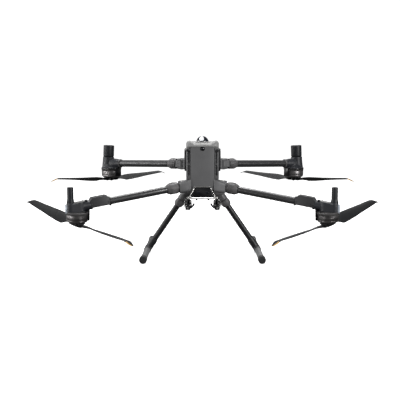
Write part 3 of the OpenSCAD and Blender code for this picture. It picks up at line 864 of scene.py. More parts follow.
def flank_details():
    """Panels, vents and screws down each side of the frame."""
    def panel():
        hatch, rear = (slab(y0, y1, *HATCH_Z, HALF_W - 0.4, HALF_W + 0.9, 7, arc=5)
                       for y0, y1 in ((-52, 86), (134, 184)))
        slots = [slab(-40 + 7 * k, -36 + 7 * k, 284, 308, HALF_W - 3, HALF_W + 3, 1.9, 0)
                 for k in range(9)]
        return joined(cut(hatch, *slots), rear)

    pair("flank_panel", panel, "graphite", FLANK)

    def mesh_insert():
        return slab(-42, 26, 282, 310, HALF_W - 0.3, HALF_W + 0.15, 2, 0.1)

    pair("flank_vent_insert", mesh_insert, "black", FLANK)

    def screws():
        parts = []
        for y, z in ((-45, 345), (30, 345), (165, 345), (-46, 278), (80, 278), (80, 336), (178, 278)):
            head = turned([(0, 0, 0), (2.6, 0, 0.1), (2.6, 1.1, 0.6), (1.3, 1.1, 0.1),
                           (1.3, 0.4, 0.1), (0, 0.4, 0)], 24, 2)
            parts.append(placed(head, move(y, z, HALF_W + (0 if z > HATCH_Z[1] else 0.8))))
        return joined(*parts)

    pair("flank_screws", screws, "steel", FLANK, ["body_screws"])


def belly():
    """Sensing module under the body, and the payload mount ahead of it, drawn upside down."""
    low, high = box_mm("bottom_vision_module")
    under, face, floor = turn(180, "X"), -low.z, -FRAME_LOW.z
    eyes = ((30, 8), (60, 5), (90, 8))
    plate = slab(-high.x, high.x, -high.y, -low.y, -high.z, face, 13, 2.0, 6, 3)
    rings = [placed(disc(r + 3, -2, 1.2, 0.6, bore=r), move(0, -y, face - 0.9))
             for y, r in eyes]
    piece("belly_sensor_plate", joined(plate, *rings), "black", under, ["bottom_vision_module"])
    lenses = [placed(disc(r - 0.2, -1, 0.2, 0.6), move(0, -y, face)) for y, r in eyes]
    lenses += repeated([(x, -60, face) for x in (-22, 22)], disc, 5, -1, 0.2, 0.5)
    piece("belly_sensor_lenses", joined(*lenses), "dome", under)
    bores = repeated([(x, y, floor) for x in (-25, 25) for y in (95, 155)], disc, 1.7, -4, 4, 0, 20)
    mount = cut(slab(-33, 33, 87, 163, floor - 0.2, floor + 1.2, 8, 0.5, 5), *bores,
                placed(disc(16, -4, 4, 0, 64), move(0, 125, floor)))
    piece("payload_mount_pad", mount, "black", under)
    ring = placed(disc(15.6, -0.4, 1.0, 0.4, 64, bore=11), move(0, 125, floor))
    piece("payload_mount_ring", ring, "steel", under)


def batteries():
    """Slide-in packs, each with a recessed handle, a latch and charge lamps at the rear."""
    low, high = box_mm("battery_left")
    x0, x1, back = low.x, high.x, -high.y
    for side, mirror in SIDES.items():
        body = "battery_" + side + "_pack"
        grooves = [slab(x0 + 6, x1 - 6, z, z + 3, back + 5, back + 7.2, 1.4, 0)
                   for z in (low.z + 18, low.z + 34, high.z - 52)]
        case = cut(slab(x0, x1, low.z, high.z, back + 6, -low.y, 4, 1.0), *grooves)
        face = cut(slab(x0 + 0.6, x1 - 0.6, low.z + 4, high.z - 4, back, back + 6.5, 5, 1.4, steps=3),
                   slab(x0 + 5.5, x1 - 5.5, high.z - 40, high.z - 18, back - 1, back + 4, 4, 0),
                   slab(x0 + 6, x1 - 6, low.z + 12, low.z + 52, back - 1, back + 0.8, 4, 0))
        # drawn with the face down, then stood up so that it looks to the rear
        rear = mirror @ STAND
        piece("battery_case_" + side, joined(case, face), "battery", rear, ["battery_" + side], body)
        grip = slab(x0 + 8, x1 - 8, high.z - 33, high.z - 25, back + 0.3, back + 3.2, 3.5, 1)
        latch = slab(x0 + 12, x1 - 12, low.z + 58, low.z + 64, back - 0.2, back + 1, 2.5, 0.3)
        piece("battery_grip_" + side, joined(grip, latch), "black", rear, body=body)
        lamps = repeated([(x0 + 11 + 6 * k, low.z + 46, back + 0.6) for k in range(4)],
                         disc, 1.3, -0.1, 1, 0.3, 20)
        piece("battery_lamps_" + side, joined(*lamps), "lamp", rear, body=body, slot="battery_case")


def circuit():
    """Boards, standoffs and chips inside the nose bay."""
    low, high = box_mm("main_board")
    boards = [slab(low.x, high.x, low.y, high.y, z, z + 2, 3, 0.3) for z in (low.z, low.z + 26)]
    piece("main_board_layers", joined(*boards), "board", stands_for=["main_board"])
    chips = [slab(x - 8, x + 8, y - 8, y + 8, low.z + 28, low.z + 31, 1, 0.3)
             for x in (-22, 0, 22) for y in (low.y + 20, high.y - 20)]
    chips.append(slab(-26, 26, low.y + 30, high.y - 30, high.z - 12, high.z, 3, 1))
    chips += repeated([(x, y, low.z + 1) for x in (-24, 24) for y in (low.y + 40, high.y - 40)],
                      disc, 3, 0, 54, 0.3, 16)
    piece("main_board_chips", joined(*chips), "black", slot="circuit_board")


# ---------------------------------------------------------------- arms
LUG_OUT, LUG_IN, LUG_R, ROOM_R, PIN_BORE = 18.5, 12.3, 16.0, 15.5, 5.05
COLLAR_FROM, COLLAR_TO, COLLAR_R, LAND_R = 22.0, 53.5, 18.0, 13.05
TUBE = {"front": 11.25, "rear": 12.5}  # radius of each arm's carbon tube
FLIP = {"front": HERE, "rear": Matrix.Scale(-1, 4, Vector((0, 1, 0)))}  # the rear forks are mirrored


def fork(end):
    """Cast shoulder that grows out of the body into the two lugs of the hinge."""
    # its front and back lines in plan, from the body's face to the lugs, then (high, low) pairs
    spans = {"front": ((-7, -51), (-44, 7), (18.6, -19.4), (0, 15.5), (31.0, -11.0), (15.5, -19.5)),
             "rear": ((-34, -16), (-34, 16), (12, -16.5), (0, 16), (18.5, -18.5), (18.5, -18.5))}
    front0, back0, front1, back1, first, last = (Vector(end_of) for end_of in spans[end])
    rings = []
    for k in range(11):
        t = k / 10
        front = front0.lerp(front1, t) + Vector((-3 * math.sin(math.pi * t), 0))
        back = back0.lerp(back1, t)
        high, low = first + (last - first) * t
        across = (back - front).length
        outline = rounded([(0, low, 7), (across, low, 5), (across, high, 5), (0, high, 9)], 4)
        step = (back - front) / across
        rings.append([(front.x + step.x * u, front.y + step.y * u, z) for u, z in outline])
    bm = fused([skin(rings), disc(LUG_R, -LUG_OUT, LUG_OUT, 2.5)], 1.1, 5, 0.35)
    back, side = (-18.5, -15.8) if end == "front" else (-14.5, -30)
    mouth = [(back, 0), (back, 40), (40, 40), (40, side), (0, side), (0, 0)]
    return cut(bm, disc(ROOM_R, -LUG_IN, LUG_IN, 0, 64), prism(mouth, -LUG_IN, LUG_IN, 0),
               disc(PIN_BORE, -30, 30, 0, 40))


def forks():
    def pin():
        head = [(0, 0, 0), (7, 0, 0.1), (7, 1.5, 0.7), (2.6, 1.5, 0.1), (2.6, 0.4, 0.1), (0, 0.4, 0)]
        caps = [placed(turned([(r, LUG_OUT + z, soft) for r, z, soft in head], 40, 2), turn(way, "X"))
                for way in (0, 180)]
        return joined(disc(5, -LUG_OUT, LUG_OUT, 0.2, 40), *caps)

    for end in ENDS:
        level = ARM[end]["level"]
        pair(end + "_arm_fork", lambda: fork(end), "fork", level @ FLIP[end], ["arm_forks"], sharp=45)
        pair(end + "_hinge_pin", pin, "steel", level, ["hinge_pins"])


def knuckle(end):
    """Cast eye that turns in the fork, and the round land under the locking collar."""
    to_level = ARM[end]["arm"].inverted() @ ARM[end]["level"]
    eye = placed(disc(15.0, -LUG_IN + 0.3, LUG_IN - 0.3, 1.2), to_level)
    neck = turned([(0, 4, 0), (10.5, 4, 1), (10.5, 14, 3), (LAND_R - 0.1, 19.2, 0.5),
                   (LAND_R - 0.1, COLLAR_TO + 1, 0.6), (0, COLLAR_TO + 1, 0)])
    # block that fills the fork's mouth, on the side that stays clear when the arm folds
    side = 4 if end == "front" else 15
    mouth = placed(slab(5, 19.4, -15, side, -LUG_IN + 0.4, LUG_IN - 0.4, 3, 1.5), to_level)
    bm = fused([eye, placed(neck, ALONG_X), mouth], 1.0, 2, 0.4)
    return cut(bm, placed(disc(PIN_BORE, -30, 30, 0, 40), to_level))


def arms():
    for end in ENDS:
        body, node, at, r = end + "_{}_arm", end + "_arm_{}", ARM[end]["arm"], TUBE[end]
        far = ARM[end]["reach"] - 12

        def carbon_tube():
            return placed(pipe(r, COLLAR_TO, far, 96), ALONG_X)

        def ferrule():
            return placed(turned([(r, COLLAR_TO, 0.1), (r + 0.7, COLLAR_TO, 0.3),
                                  (r + 0.4, COLLAR_TO + 3, 0.2), (r, COLLAR_TO + 3.4, 0.1)],
                                 steps=2), ALONG_X)

        pair(end + "_arm_tube", carbon_tube, "carbon", at, [node], body)
        pair(end + "_arm_knuckle", lambda: knuckle(end), "fork", at, [node], body, sharp=45)
        pair(end + "_arm_ferrule", ferrule, "rubber", at, body=body)


def collar():
    """Locking sleeve: a turned barrel with a cone, finger pads, and teeth towards the hinge."""
    r, start = COLLAR_R, COLLAR_FROM
    barrel = turned([(LAND_R, start, 0.2), (r - 0.4, start, 0.5), (r, start + 1.5, 0.4),
                     (r, COLLAR_TO - 9.5, 0.8), (LAND_R + 0.5, COLLAR_TO, 0.4),
                     (LAND_R, COLLAR_TO, 0.2)], 96)
    skirt = turned([(r - 3.2, start - 2.3, 0.2), (r - 1.2, start - 2.3, 0.4), (r - 1.2, start + 0.8, 0),
                    (r - 3.2, start + 0.8, 0)], 96, 2)
    parts = [barrel, skirt]
    for first in range(0, 360, 60):
        parts.append(ring_patch(r - 2.5, r - 0.2, start - 2.6, start + 0.6, first + 4, first + 34, 0.3))
    for first in (20, 140, 260):
        parts.append(ring_patch(r - 1, r + 0.55, start + 6, COLLAR_TO - 10, first, first + 62, 0.5))
        for angle in range(first + 8, first + 62, 9):
            parts.append(ring_patch(r, r + 1.0, start + 8, COLLAR_TO - 12, angle, angle + 3, 0.2))
    parts.append(band(r - 1, r + 0.35, start + 3.6, start + 4.8, 96, 2, 0.1, 0.2))
    return placed(joined(*parts), ALONG_X)


def collars():
    def inlay():
        pad = ring_patch(COLLAR_R - 0.5, COLLAR_R + 0.3, COLLAR_FROM + 8, COLLAR_FROM + 20,
                         212, 240, 0.4)
        dot = placed(disc(1.5, COLLAR_R - 1, COLLAR_R + 0.35, 0.3, 20),
                     turn(258, "Z") @ move(0, 0, COLLAR_FROM + 1.8) @ turn(90, "Y"))
        return placed(joined(pad, dot), ALONG_X)

    for end in ENDS:
        body, at = end + "_{}_lock", ARM[end]["arm"]
        pair(end + "_lock_barrel", collar, "collar", at, [end + "_lock_{}"], body)
        pair(end + "_lock_inlay", inlay, "fork", at, body=body, slot="lock_collar")


def arm_modules():
    """Faceted sensor box that sits over each front tube."""
    at, body = ARM["front"]["arm"], "front_{}_arm"
    x0, x1, up = 234.0, 297.0, 21.0

    def box():
        outline = rounded([(x0 + 5, -9, 1.5), (x1, -9, 1.5), (x1, 13, 3), (x1 - 7, up, 3),
                           (x0 + 12, up, 3), (x0 + 5, 11, 3)], 3)
        bm = placed(prism(outline, -14, 14, 2.8, 4), STAND)
        return cut(bm, placed(disc(TUBE["front"] + 0.1, 100, 400, 0, 64), ALONG_X))

    pair("arm_module_case", box, "module", at, ["arm_module_{}"], body)

    def trim():
        parts = [slab(x0 + 16, x1 - 11, -9, 9, up - 0.5, up + 0.5, 2.5, 0.4)]
        for x in (x0 + 3, x1 - 3):
            clip = band(TUBE["front"] + 0.05, 14.4, x - 2.2, x + 2.2, steps=2, soft=0.3, edge=0.8)
            parts.append(placed(clip, ALONG_X))
        for x in (x0 + 10, x1 - 10):
            parts.append(placed(disc(2.0, 13.6, 14.6, 0.3, 20), move(x, 0, 0) @ STAND))
        return joined(*parts)

    pair("arm_module_trim", trim, "black", at, body=body)


# ---------------------------------------------------------------- pods and antennas
MAST = move(15.5, 0, 260) @ turn(-3.5, "Y")  # foot of the rear mast, which leans outwards
DECK = move(-4, 0, 202.6) @ turn(10.3, "Y")  # middle of the front pod's sloping deck


def seat_of(end):
    """Centre of an antenna in the level frame below its motor."""
    low, high = box_mm(end + "_antenna_left")
    return ARM[end]["hub"].inverted() @ ((low + high) / 2)


def along_tube(end):
    """Frame of the tube's axis, seen from the level frame below the motor."""
    return ARM[end]["hub"].inverted() @ ARM[end]["arm"] @ ALONG_X


def on_motor(end):
    """Frame of the motor's top face, seen from the level frame below it."""
    return ARM[end]["hub"].inverted() @ ARM[end]["motor"]


def pod(end, shapes, *blend):
    """Fused pod, bored for its tube and cut flat on top of its motor."""
    bore = placed(disc(TUBE[end] + 0.05, 100, ARM[end]["reach"] - 14, 0, 64), along_tube(end))
    below = placed(slab(-90, 90, -90, 90, -100, 0, bevel=0), on_motor(end))
    return cut(fused(shapes, *blend), bore, below)


def front_pod():
    """Pod over the front motor: a sloping deck, an antenna socket and a sleeve on the tube."""
    side = rounded([(-30, 168, 0), (34, 168, 0), (34.5, 193, 3), (20, 198, 3), (-27, 206.5, 3),
                    (-34, 203, 3)], 3)
    wedge = placed(prism(side, -23, 23, 0), STAND)
    wedge = cut(wedge, slab(-24, 33, -15.5, 21, 150, 230, 15, 0, 10), operation="INTERSECT")
    socket = placed(disc(11.6, 190, 203, 1, 48), move(seat_of("front").x, 0, 0))
    sleeve = placed(disc(13.9, 292, ARM["front"]["reach"] - 6, 1, 64), along_tube("front"))
    return pod("front", [wedge, socket, sleeve], 1.1, 7, 0.35)


def rear_pod():
    """Mast over the rear motor that carries the wide antenna, filleted into the tube sleeve."""
    reach, along, over = ARM["rear"]["reach"], along_tube("rear"), on_motor("rear")
    mast = placed(lathe([(0, -4), (23.4, -4), (22.6, 12), (21.2, 30), (20.7, 47.8), (0, 47.8)]), MAST)
    sleeve = placed(disc(15.8, reach - 42, reach + 2, 2, 64), along)
    fillet = placed(lathe([(0, reach - 34), (16.2, reach - 34), (18.5, reach - 16),
                           (19.5, reach - 4), (0, reach - 4)]), along)
    cap = placed(disc(37.3, 0, 3.4, 1, 96), over)
    skirt = placed(lathe([(0, 1), (30, 1), (24, 9), (20, 16), (0, 16)]), over)
    return pod("rear", [mast, sleeve, fillet, cap, skirt], 1.2, 9, 0.4)


def front_pods():
    hub, body = ARM["front"]["hub"], "front_{}_arm"
    pair("front_pod_shell", front_pod, "pod", hub, ["front_pod_{}"], body, sharp=45)

    def deck():
        return placed(slab(-19, 11, -11.5, 16, -0.6, 0.5, 7, 0.4, 5), DECK)

    pair("front_pod_deck", deck, "patch", hub, body=body)

    def latch():
        bar = slab(-27, -20, -8, 8, -1, 1.6, 2)
        screws = repeated([(x, y, 0) for x in (-15.5, 7.5) for y in (-8, 12.5)],
                          disc, 1.6, -0.5, 1.1, 0.3, 20)
        return placed(joined(bar, *screws), DECK)

    pair("front_pod_latch", latch, "black", hub, body=body)

    def lamp():
        return placed(ring_patch(13.8, 15.4, 172, 196, -38, 38, 0.6), move(19.4, 0, 0))

    pair("front_pod_lamp", lamp, "lamp", hub, body=body)

    def antenna():
        low, high = box_mm("front_antenna_left")
        r, top = (high.y - low.y) / 2, high.z
        return placed(turned([(0, 201, 0), (r + 2.2, 201, 0.3), (r + 1.4, 206, 1.5), (r, 213, 6),
                              (r, top, 1.6), (r - 2.4, top, 0.5), (r - 3.2, top - 1.2, 0.4),
                              (0, top - 1.0, 0)]), move(seat_of("front").x, 0, 0))

    pair("front_antenna_mast", antenna, "antenna", hub, ["front_antenna_{}"], body)


def rear_pods():
    hub, body = ARM["rear"]["hub"], "rear_{}_arm"
    pair("rear_pod_shell", rear_pod, "pod", hub, ["rear_pod_{}"], body, sharp=45)

    def antenna():
        r, tall = 19.8, 42.0
        return turned([(0, 0.9, 0), (r - 1.2, 0.9, 0.1), (r - 0.9, 2.0, 0.1), (r, 2.4, 0.6),
                       (r + 0.15, 7, 0.3), (r, 8, 0.3), (r, tall, 2.2), (r - 3, tall, 0.6),
                       (r - 3.6, tall - 1, 0.4), (0, tall - 0.7, 0)], 96)

    pair("rear_antenna_mast", antenna, "antenna", hub @ MAST @ move(0, 0, 48), ["rear_antenna_{}"], body)

    def entry():
        start, inner = ARM["rear"]["reach"] - 47, TUBE["rear"] + 0.1
        return placed(turned([(inner, start, 0.2), (15.0, start, 0.8), (16.3, start + 4.4, 0.6),
                              (inner, start + 4.4, 0.2)], steps=2), ALONG_X)

    pair("rear_pod_entry", entry, "casting", ARM["rear"]["arm"], body=body, slot="pod_plastic")


# ---------------------------------------------------------------- motors and propellers
MOTOR_R = {"front": 34.0, "rear": 37.5}


def motor_base(radius):
    ring = turned([(9, -8, 0.3), (radius - 2, -8, 1.2), (radius - 0.4, -4, 0.8),
                   (radius - 0.4, 0, 0.6), (9, 0, 0.3)], 96)
    rim = [ring_patch(radius - 8, radius - 1.2, -8.6, -7.4, a, a + 14, 0.3) for a in range(0, 360, 24)]
    return joined(ring, disc(12, -25, -1, 0.5, 48, bore=4.2), *rim)


def motor_windings(bell_r):
    return joined(*[placed(slab(15, bell_r - 5.5, -2.1, 2.1, -24, -8.6, 1.6, 1.2, 3), turn(20 * k, "Z"))
                    for k in range(18)])


def motor_guard(end, radius, bell_r):
    """Black cap over the motor with one or two posts down its side."""
    if end == "front":
        return joined(ring_patch(bell_r + 0.7, radius + 2.6, -28, 6, 152, 208, 2.5),
                      ring_patch(20, radius - 2, 0.2, 3.2, 120, 240, 1))
    cap = turned([(radius - 9, -3.6, 0.3), (radius - 0.2, -3.6, 0.8), (radius, 1.6, 1.4),
                  (radius - 9, 1.6, 0.3)], 96)
    posts = [ring_patch(bell_r + 0.7, radius, -28, 0, middle - 24, middle + 24, 1.4)
             for middle in (0, 180)]
    return joined(cap, *posts)


def motor_bell(r):
    """Turning shell with a groove, slots in its floor, and the hub on its shaft."""
    shell = turned([(r - 4, -29, 1), (r - 4, -9.2, 0.3), (r - 0.6, -9.2, 0.5), (r - 0.6, -14, 0.2),
                    (r, -14.4, 0.2), (r, -22, 0.3), (r - 0.5, -22.4, 0.2), (r - 0.5, -24.4, 0.2),
                    (r, -24.8, 0.3), (r, -30, 2.0), (r - 6, -33, 1), (9, -33, 0.5), (9, -29, 0.5)], 96)
    slots = joined(*[placed(slab(13, r - 8, -2.4, 2.4, -36, -26, 2.3, 0), turn(30 * k, "Z"))
                     for k in range(12)])
    hub = turned([(0, -33.2, 0), (10, -33.2, 1), (10, -29, 0.4), (4, -29, 0.3), (4, -3, 0.5),
                  (0, -3, 0)], 48)
    return joined(cut(shell, slots), hub)


def blade_clamp(fold_x):
    """Two cheek plates that the blades fold between, on a hub with a dome nut."""
    long = fold_x + 11
    outline = rounded([(-long, -10.5, 9), (-8, -13.5, 5), (8, -13.5, 5), (long, -10.5, 9),
                       (long, 10.5, 9), (8, 13.5, 5), (-8, 13.5, 5), (-long, 10.5, 9)], 5)
    cheeks = [prism(outline, low, low + 2.15, 0.7) for low in (3.35, -5.5)]
    nut = turned([(0, -8.6, 0), (4, -8.6, 1.6), (6.6, -5.4, 0.6), (6.6, 5.4, 0.3), (0, 5.4, 0)], 40)
    return joined(*cheeks, nut)


def blade_bolts(fold_x):
    heads = repeated([(-fold_x, 0, 0), (fold_x, 0, 0)], turned,
                     [(0, -7.1, 0), (4.2, -7.1, 0.6), (4.2, -5.4, 0.2), (3, -5.4, 0),
                      (3, 5.6, 0.2), (0, 5.6, 0)], 28)
    ring = [placed(disc(1.5, -6.4, -5.2, 0.3, 16), turn(a + 45, "Z") @ move(9, 0, 0))
            for a in range(0, 360, 90)]
    return joined(*heads, *ring)


def motors():
    for end in ENDS:
        at, clamp_at, fold_x = (ARM[end][key] for key in ("motor", "clamp", "fold_x"))
        still, spinning = end + "_{}_arm", end + "_{}_rotor"
        radius, bell_r = MOTOR_R[end], MOTOR_R[end] - 3.0
        pair(end + "_motor_base_ring", lambda: motor_base(radius), "base", at,
             [end + "_motor_base_{}"], still)
        pair(end + "_motor_windings", lambda: motor_windings(bell_r), "copper", at, body=still)
        pair(end + "_motor_guard", lambda: motor_guard(end, radius, bell_r), "gloss", at, body=still,
             slot="black_plastic")
        pair(end + "_motor_bell", lambda: motor_bell(bell_r), "bell", at, [end + "_rotor_{}"], spinning)
        pair(end + "_blade_clamp", lambda: blade_clamp(fold_x), "black", clamp_at, body=spinning)
        pair(end + "_blade_bolts", lambda: blade_bolts(fold_x), "steel", clamp_at, body=spinning)


# share of the length: leading edge, trailing edge, both as shares of the widest chord
BLADE_PLAN = [(0.0, 0.09, 0.09), (0.045, 0.10, 0.10), (0.075, 0.20, 0.32), (0.105, 0.29, 0.50),
              (0.14, 0.36, 0.525), (0.20, 0.43, 0.515), (0.28, 0.47, 0.50), (0.38, 0.47, 0.485),
              (0.52, 0.44, 0.435), (0.70, 0.385, 0.375), (0.82, 0.355, 0.31), (0.90, 0.31, 0.265),
              (0.93, 0.27, 0.235), (0.96, 0.20, 0.205), (0.985, 0.10, 0.175), (1.0, 0.0, 0.15)]
BLADE_FREE = {"front": 1.6, "rear": 1.4}  # degrees that a blade trails about its bolt
BLADE_RISE, BLADE_CHORD, BLADE_LENGTH = 13.0, 45.0, 246.5
BLADE_BEND, BLADE_ROOT = 0.91 * BLADE_LENGTH, 30  # where the tip turns down, where the rise starts
BLADE_DROOP = 0.364  # fall of the tip for each millimetre past the bend
BACK, UP = 0.208, 0.978  # the rise follows a line that leans 12 degrees off the vertical


def section(lead, trail, thick, camber):
    """Closed airfoil from the leading edge at +lead to the trailing edge at -trail."""
    points, chord = 14, lead + trail
    upper, lower = [], []
    for k in range(points + 1):
        t = 0.5 - 0.5 * math.cos(math.pi * k / points)
        half = 5 * thick * (0.2969 * math.sqrt(t) - 0.126 * t - 0.3516 * t * t +
                            0.2843 * t ** 3 - 0.1015 * t ** 4) + 0.12
        arc = camber * 4 * t * (1 - t)
        upper.append((lead - chord * t, arc + half))
        lower.append((lead - chord * t, arc - half))
    return upper + lower[::-1][1:-1]


def propeller_blade(lean):
    """Twisted, cambered blade with a turned-down tip, built along +X from its bolt."""
    rings, lengths = [], []
    for share, lead, trail in BLADE_PLAN:
        x = share * BLADE_LENGTH
        thick = 6.2 * (1 - ease(0, 0.2, share)) + 4.4 * (1 - 0.6 * share)
        thick *= 0.55 if share < 0.06 else 1.0
        shape = section(lead * BLADE_CHORD, trail * BLADE_CHORD, thick, 1.7 * ease(0.05, 0.4, share))
        pitch = math.radians(min(22, max(12.5, 2300 / (27 + x)))) * ease(0.0, 0.16, share)
        rise = BLADE_RISE * max(0.0, x - BLADE_ROOT) / (BLADE_BEND - BLADE_ROOT)
        rise = min(rise, BLADE_RISE) - max(0.0, x - BLADE_BEND) * BLADE_DROOP
        ring = []
        for y, z in shape:
            yy = y * math.cos(pitch) - z * math.sin(pitch) - BACK * rise
            zz = y * math.sin(pitch) + z * math.cos(pitch) + UP * rise
            ring.append((x, yy * lean, zz))
        rings.append(ring)
        lengths.append(x)
    widths = [BLADE_CHORD * k / len(rings[0]) for k in range(len(rings[0]) + 1)]
    return joined(skin(rings, lengths=lengths + [0.0], widths=widths), disc(9, -3.1, 3.1, 1.0, 48))


def blades():
    for end in ENDS:
        lean = 1 if end == "front" else -1
        for where, flip, free in (("out", 0, -1), ("in", 180, 1)):
            at = (ARM[end]["clamp"] @ turn(flip, "Z") @ move(ARM[end]["fold_x"], 0, 0) @
                  turn(BLADE_FREE[end] * free, "Z"))
            pair(end + "_propeller_" + where, lambda: propeller_blade(lean), "blade", at,
                 [end + "_blade_" + where + "_{}"], end + "_{}_blade_" + where, sharp=50)


# ---------------------------------------------------------------- landing gear
SKID_LOW, SKID_HIGH = box_mm("skid_tubes")
CAP_LOW, CAP_HIGH = box_mm("skid_caps")
TUBE_R = (SKID_HIGH.z - SKID_LOW.z) / 2
FOOT_R = (CAP_HIGH.z - CAP_LOW.z) / 2
LOCK_R = 15.2
LEG_BORE, TEE_BORE = TUBE_R + 0.05, TUBE_R + 0.02
SKID_AT = Vector((SKID_HIGH.x - TUBE_R, 0, FOOT_R))


def leg_frame():
    """The left leg's frame, with Z down its tube, and its length to the skid."""
    down = axis_of("leg_left_lock_twist")
    down = down if down.z < 0 else -down
    top = SKID_AT - down * ((FOOT_R - FRAME_LOW.z) / down.z)
    frame_of = Matrix.Translation(top) @ down.to_track_quat("Z", "Y").to_matrix().to_4x4()
    return frame_of, (SKID_AT - top).length


LEG, LEG_LENGTH = leg_frame()
SKID = Matrix.Translation(SKID_AT)


def legs():
    def socket():
        boss = placed(disc(LOCK_R, -22, 35.5, 2.5, 64), LEG)
        block = slab(36, 66, -25, 25, FRAME_LOW.z - 10, FRAME_LOW.z + 4, 8, 2, 5)
        return cut(fused([boss, block], 1.1, 6, 0.4), placed(disc(LEG_BORE, 4, 80, 0, 64), LEG),
                   slab(-20, 120, -60, 60, FRAME_LOW.z - 0.1, FRAME_LOW.z + 60, bevel=0))

    pair("leg_socket_casting", socket, "casting", stands_for=["leg_sockets"], sharp=45)

    def lock():
        barrel = turned([(LEG_BORE, 36.4, 0.2), (LOCK_R, 36.4, 0.8), (LOCK_R, 51, 1.2),
                         (13, 58, 0.8), (LEG_BORE, 58, 0.2)], 72)
        return joined(barrel, *[ring_patch(LOCK_R - 1, LOCK_R + 0.7, 39.5, 50, a + 6, a + 40, 0.5)
                                for a in range(0, 360, 60)])

    pair("leg_lock_barrel", lock, "collar", LEG, ["leg_lock_{}"], "leg_{}_lock")
    pair("leg_tube_long", lambda: pipe(TUBE_R, 6, LEG_LENGTH - 20, 72), "leg", LEG, ["leg_tubes"])

    def tee():
        lying = SKID @ turn(90, "X")
        upright = placed(disc(FOOT_R, LEG_LENGTH - 40, LEG_LENGTH, 1.5, 64), LEG)
        across = placed(disc(FOOT_R, -26, 26, 1.5, 64), lying)
        return cut(fused([upright, across], 1.0, 5, 0.4),
                   placed(disc(TEE_BORE, LEG_LENGTH - 70, LEG_LENGTH - 22, 0, 64), LEG),
                   placed(disc(TEE_BORE, -60, 60, 0, 64), lying))

    pair("leg_tee_casting", tee, "leg", stands_for=["leg_tees"], sharp=45, slot="black_plastic")

    def tee_details():
        patches = [placed(ring_patch(FOOT_R - 0.6, FOOT_R, LEG_LENGTH - 38, LEG_LENGTH - 33,
                                     a, a + 100, 0.3), LEG) for a in (20, 200)]
        ball = placed(lathe([(0, -3.4), (3.4, -2), (4.6, 0), (3.4, 2), (0, 3.4)], 24),
                      LEG @ move(0, 0, LEG_LENGTH - 52) @ turn(90, "X") @ move(0, TUBE_R + 1, 0))
        return joined(ball, *patches)

    pair("leg_tee_details", tee_details, "black")


def skids():
    lying = SKID @ turn(-90, "X")
    half = SKID_HIGH.y
    pair("skid_tube_long", lambda: pipe(TUBE_R, -half, half, 72), "skid", lying, ["skid_tubes"])

    def caps():
        end_y = CAP_HIGH.y
        parts = []
        for way in (0, 180):
            cap = turned([(0, end_y, 0), (FOOT_R, end_y, 3.2), (FOOT_R, end_y - 24, 0.8),
                          (LEG_BORE, end_y - 24, 0.2), (LEG_BORE, end_y - 4, 0.2),
                          (0, end_y - 4, 0)], 64, 4)
            parts.append(placed(cap, turn(way, "X")))
            for y in (-7, -11, -15, -19):
                rib = band(FOOT_R - 0.6, FOOT_R - 0.02, y - 0.9, y + 0.9, 64, 2, 0.1)
                parts.append(placed(rib, turn(way, "X") @ move(0, 0, end_y)))
        return joined(*parts)

    pair("skid_rubber_caps", caps, "rubber", lying, ["skid_caps"])


# ---------------------------------------------------------------- payload bracket
DAMPER_X, DAMPERS_Y = 43, (-181, -169)
HOOP_LOW, HOOP_HIGH, HOOP_END = Vector((42, -206, 205)), Vector((24, -194, 239)), Vector((42, -176, 203.5))


def gimbal_hoop():
    """Bent bar round the window, on a foot plate each side."""
    bar, mirrored = 1.6, Vector((-1, 1, 1))
    left = [HOOP_END, HOOP_LOW, HOOP_HIGH]
    hoop = tube(bent(left + [corner * mirrored for corner in reversed(left)], 3.0, 5), bar, 14)
    parts = [hoop, tube([HOOP_LOW * mirrored, HOOP_LOW], bar * 0.95, 14)]
    for sign in (1, -1):
        parts.append(slab(*sorted((34 * sign, 48 * sign)), -186, -164, 202, 206, 3, 0.7))
        parts.append(placed(disc(2.6, -2.4, 2.4, 0.5, 24), move(42 * sign, -206, 205) @ STAND))
        parts.append(placed(disc(2.2, -2.2, 2.2, 0.5, 24), move(24 * sign, -194.4, 239) @ STAND))
        parts += repeated([(DAMPER_X * sign, y, 0) for y in DAMPERS_Y], disc, 1.8, 206, 207, 0.3, 20)
    piece("gimbal_bracket_hoop", joined(*parts), "steel", stands_for=["gimbal_frame"])


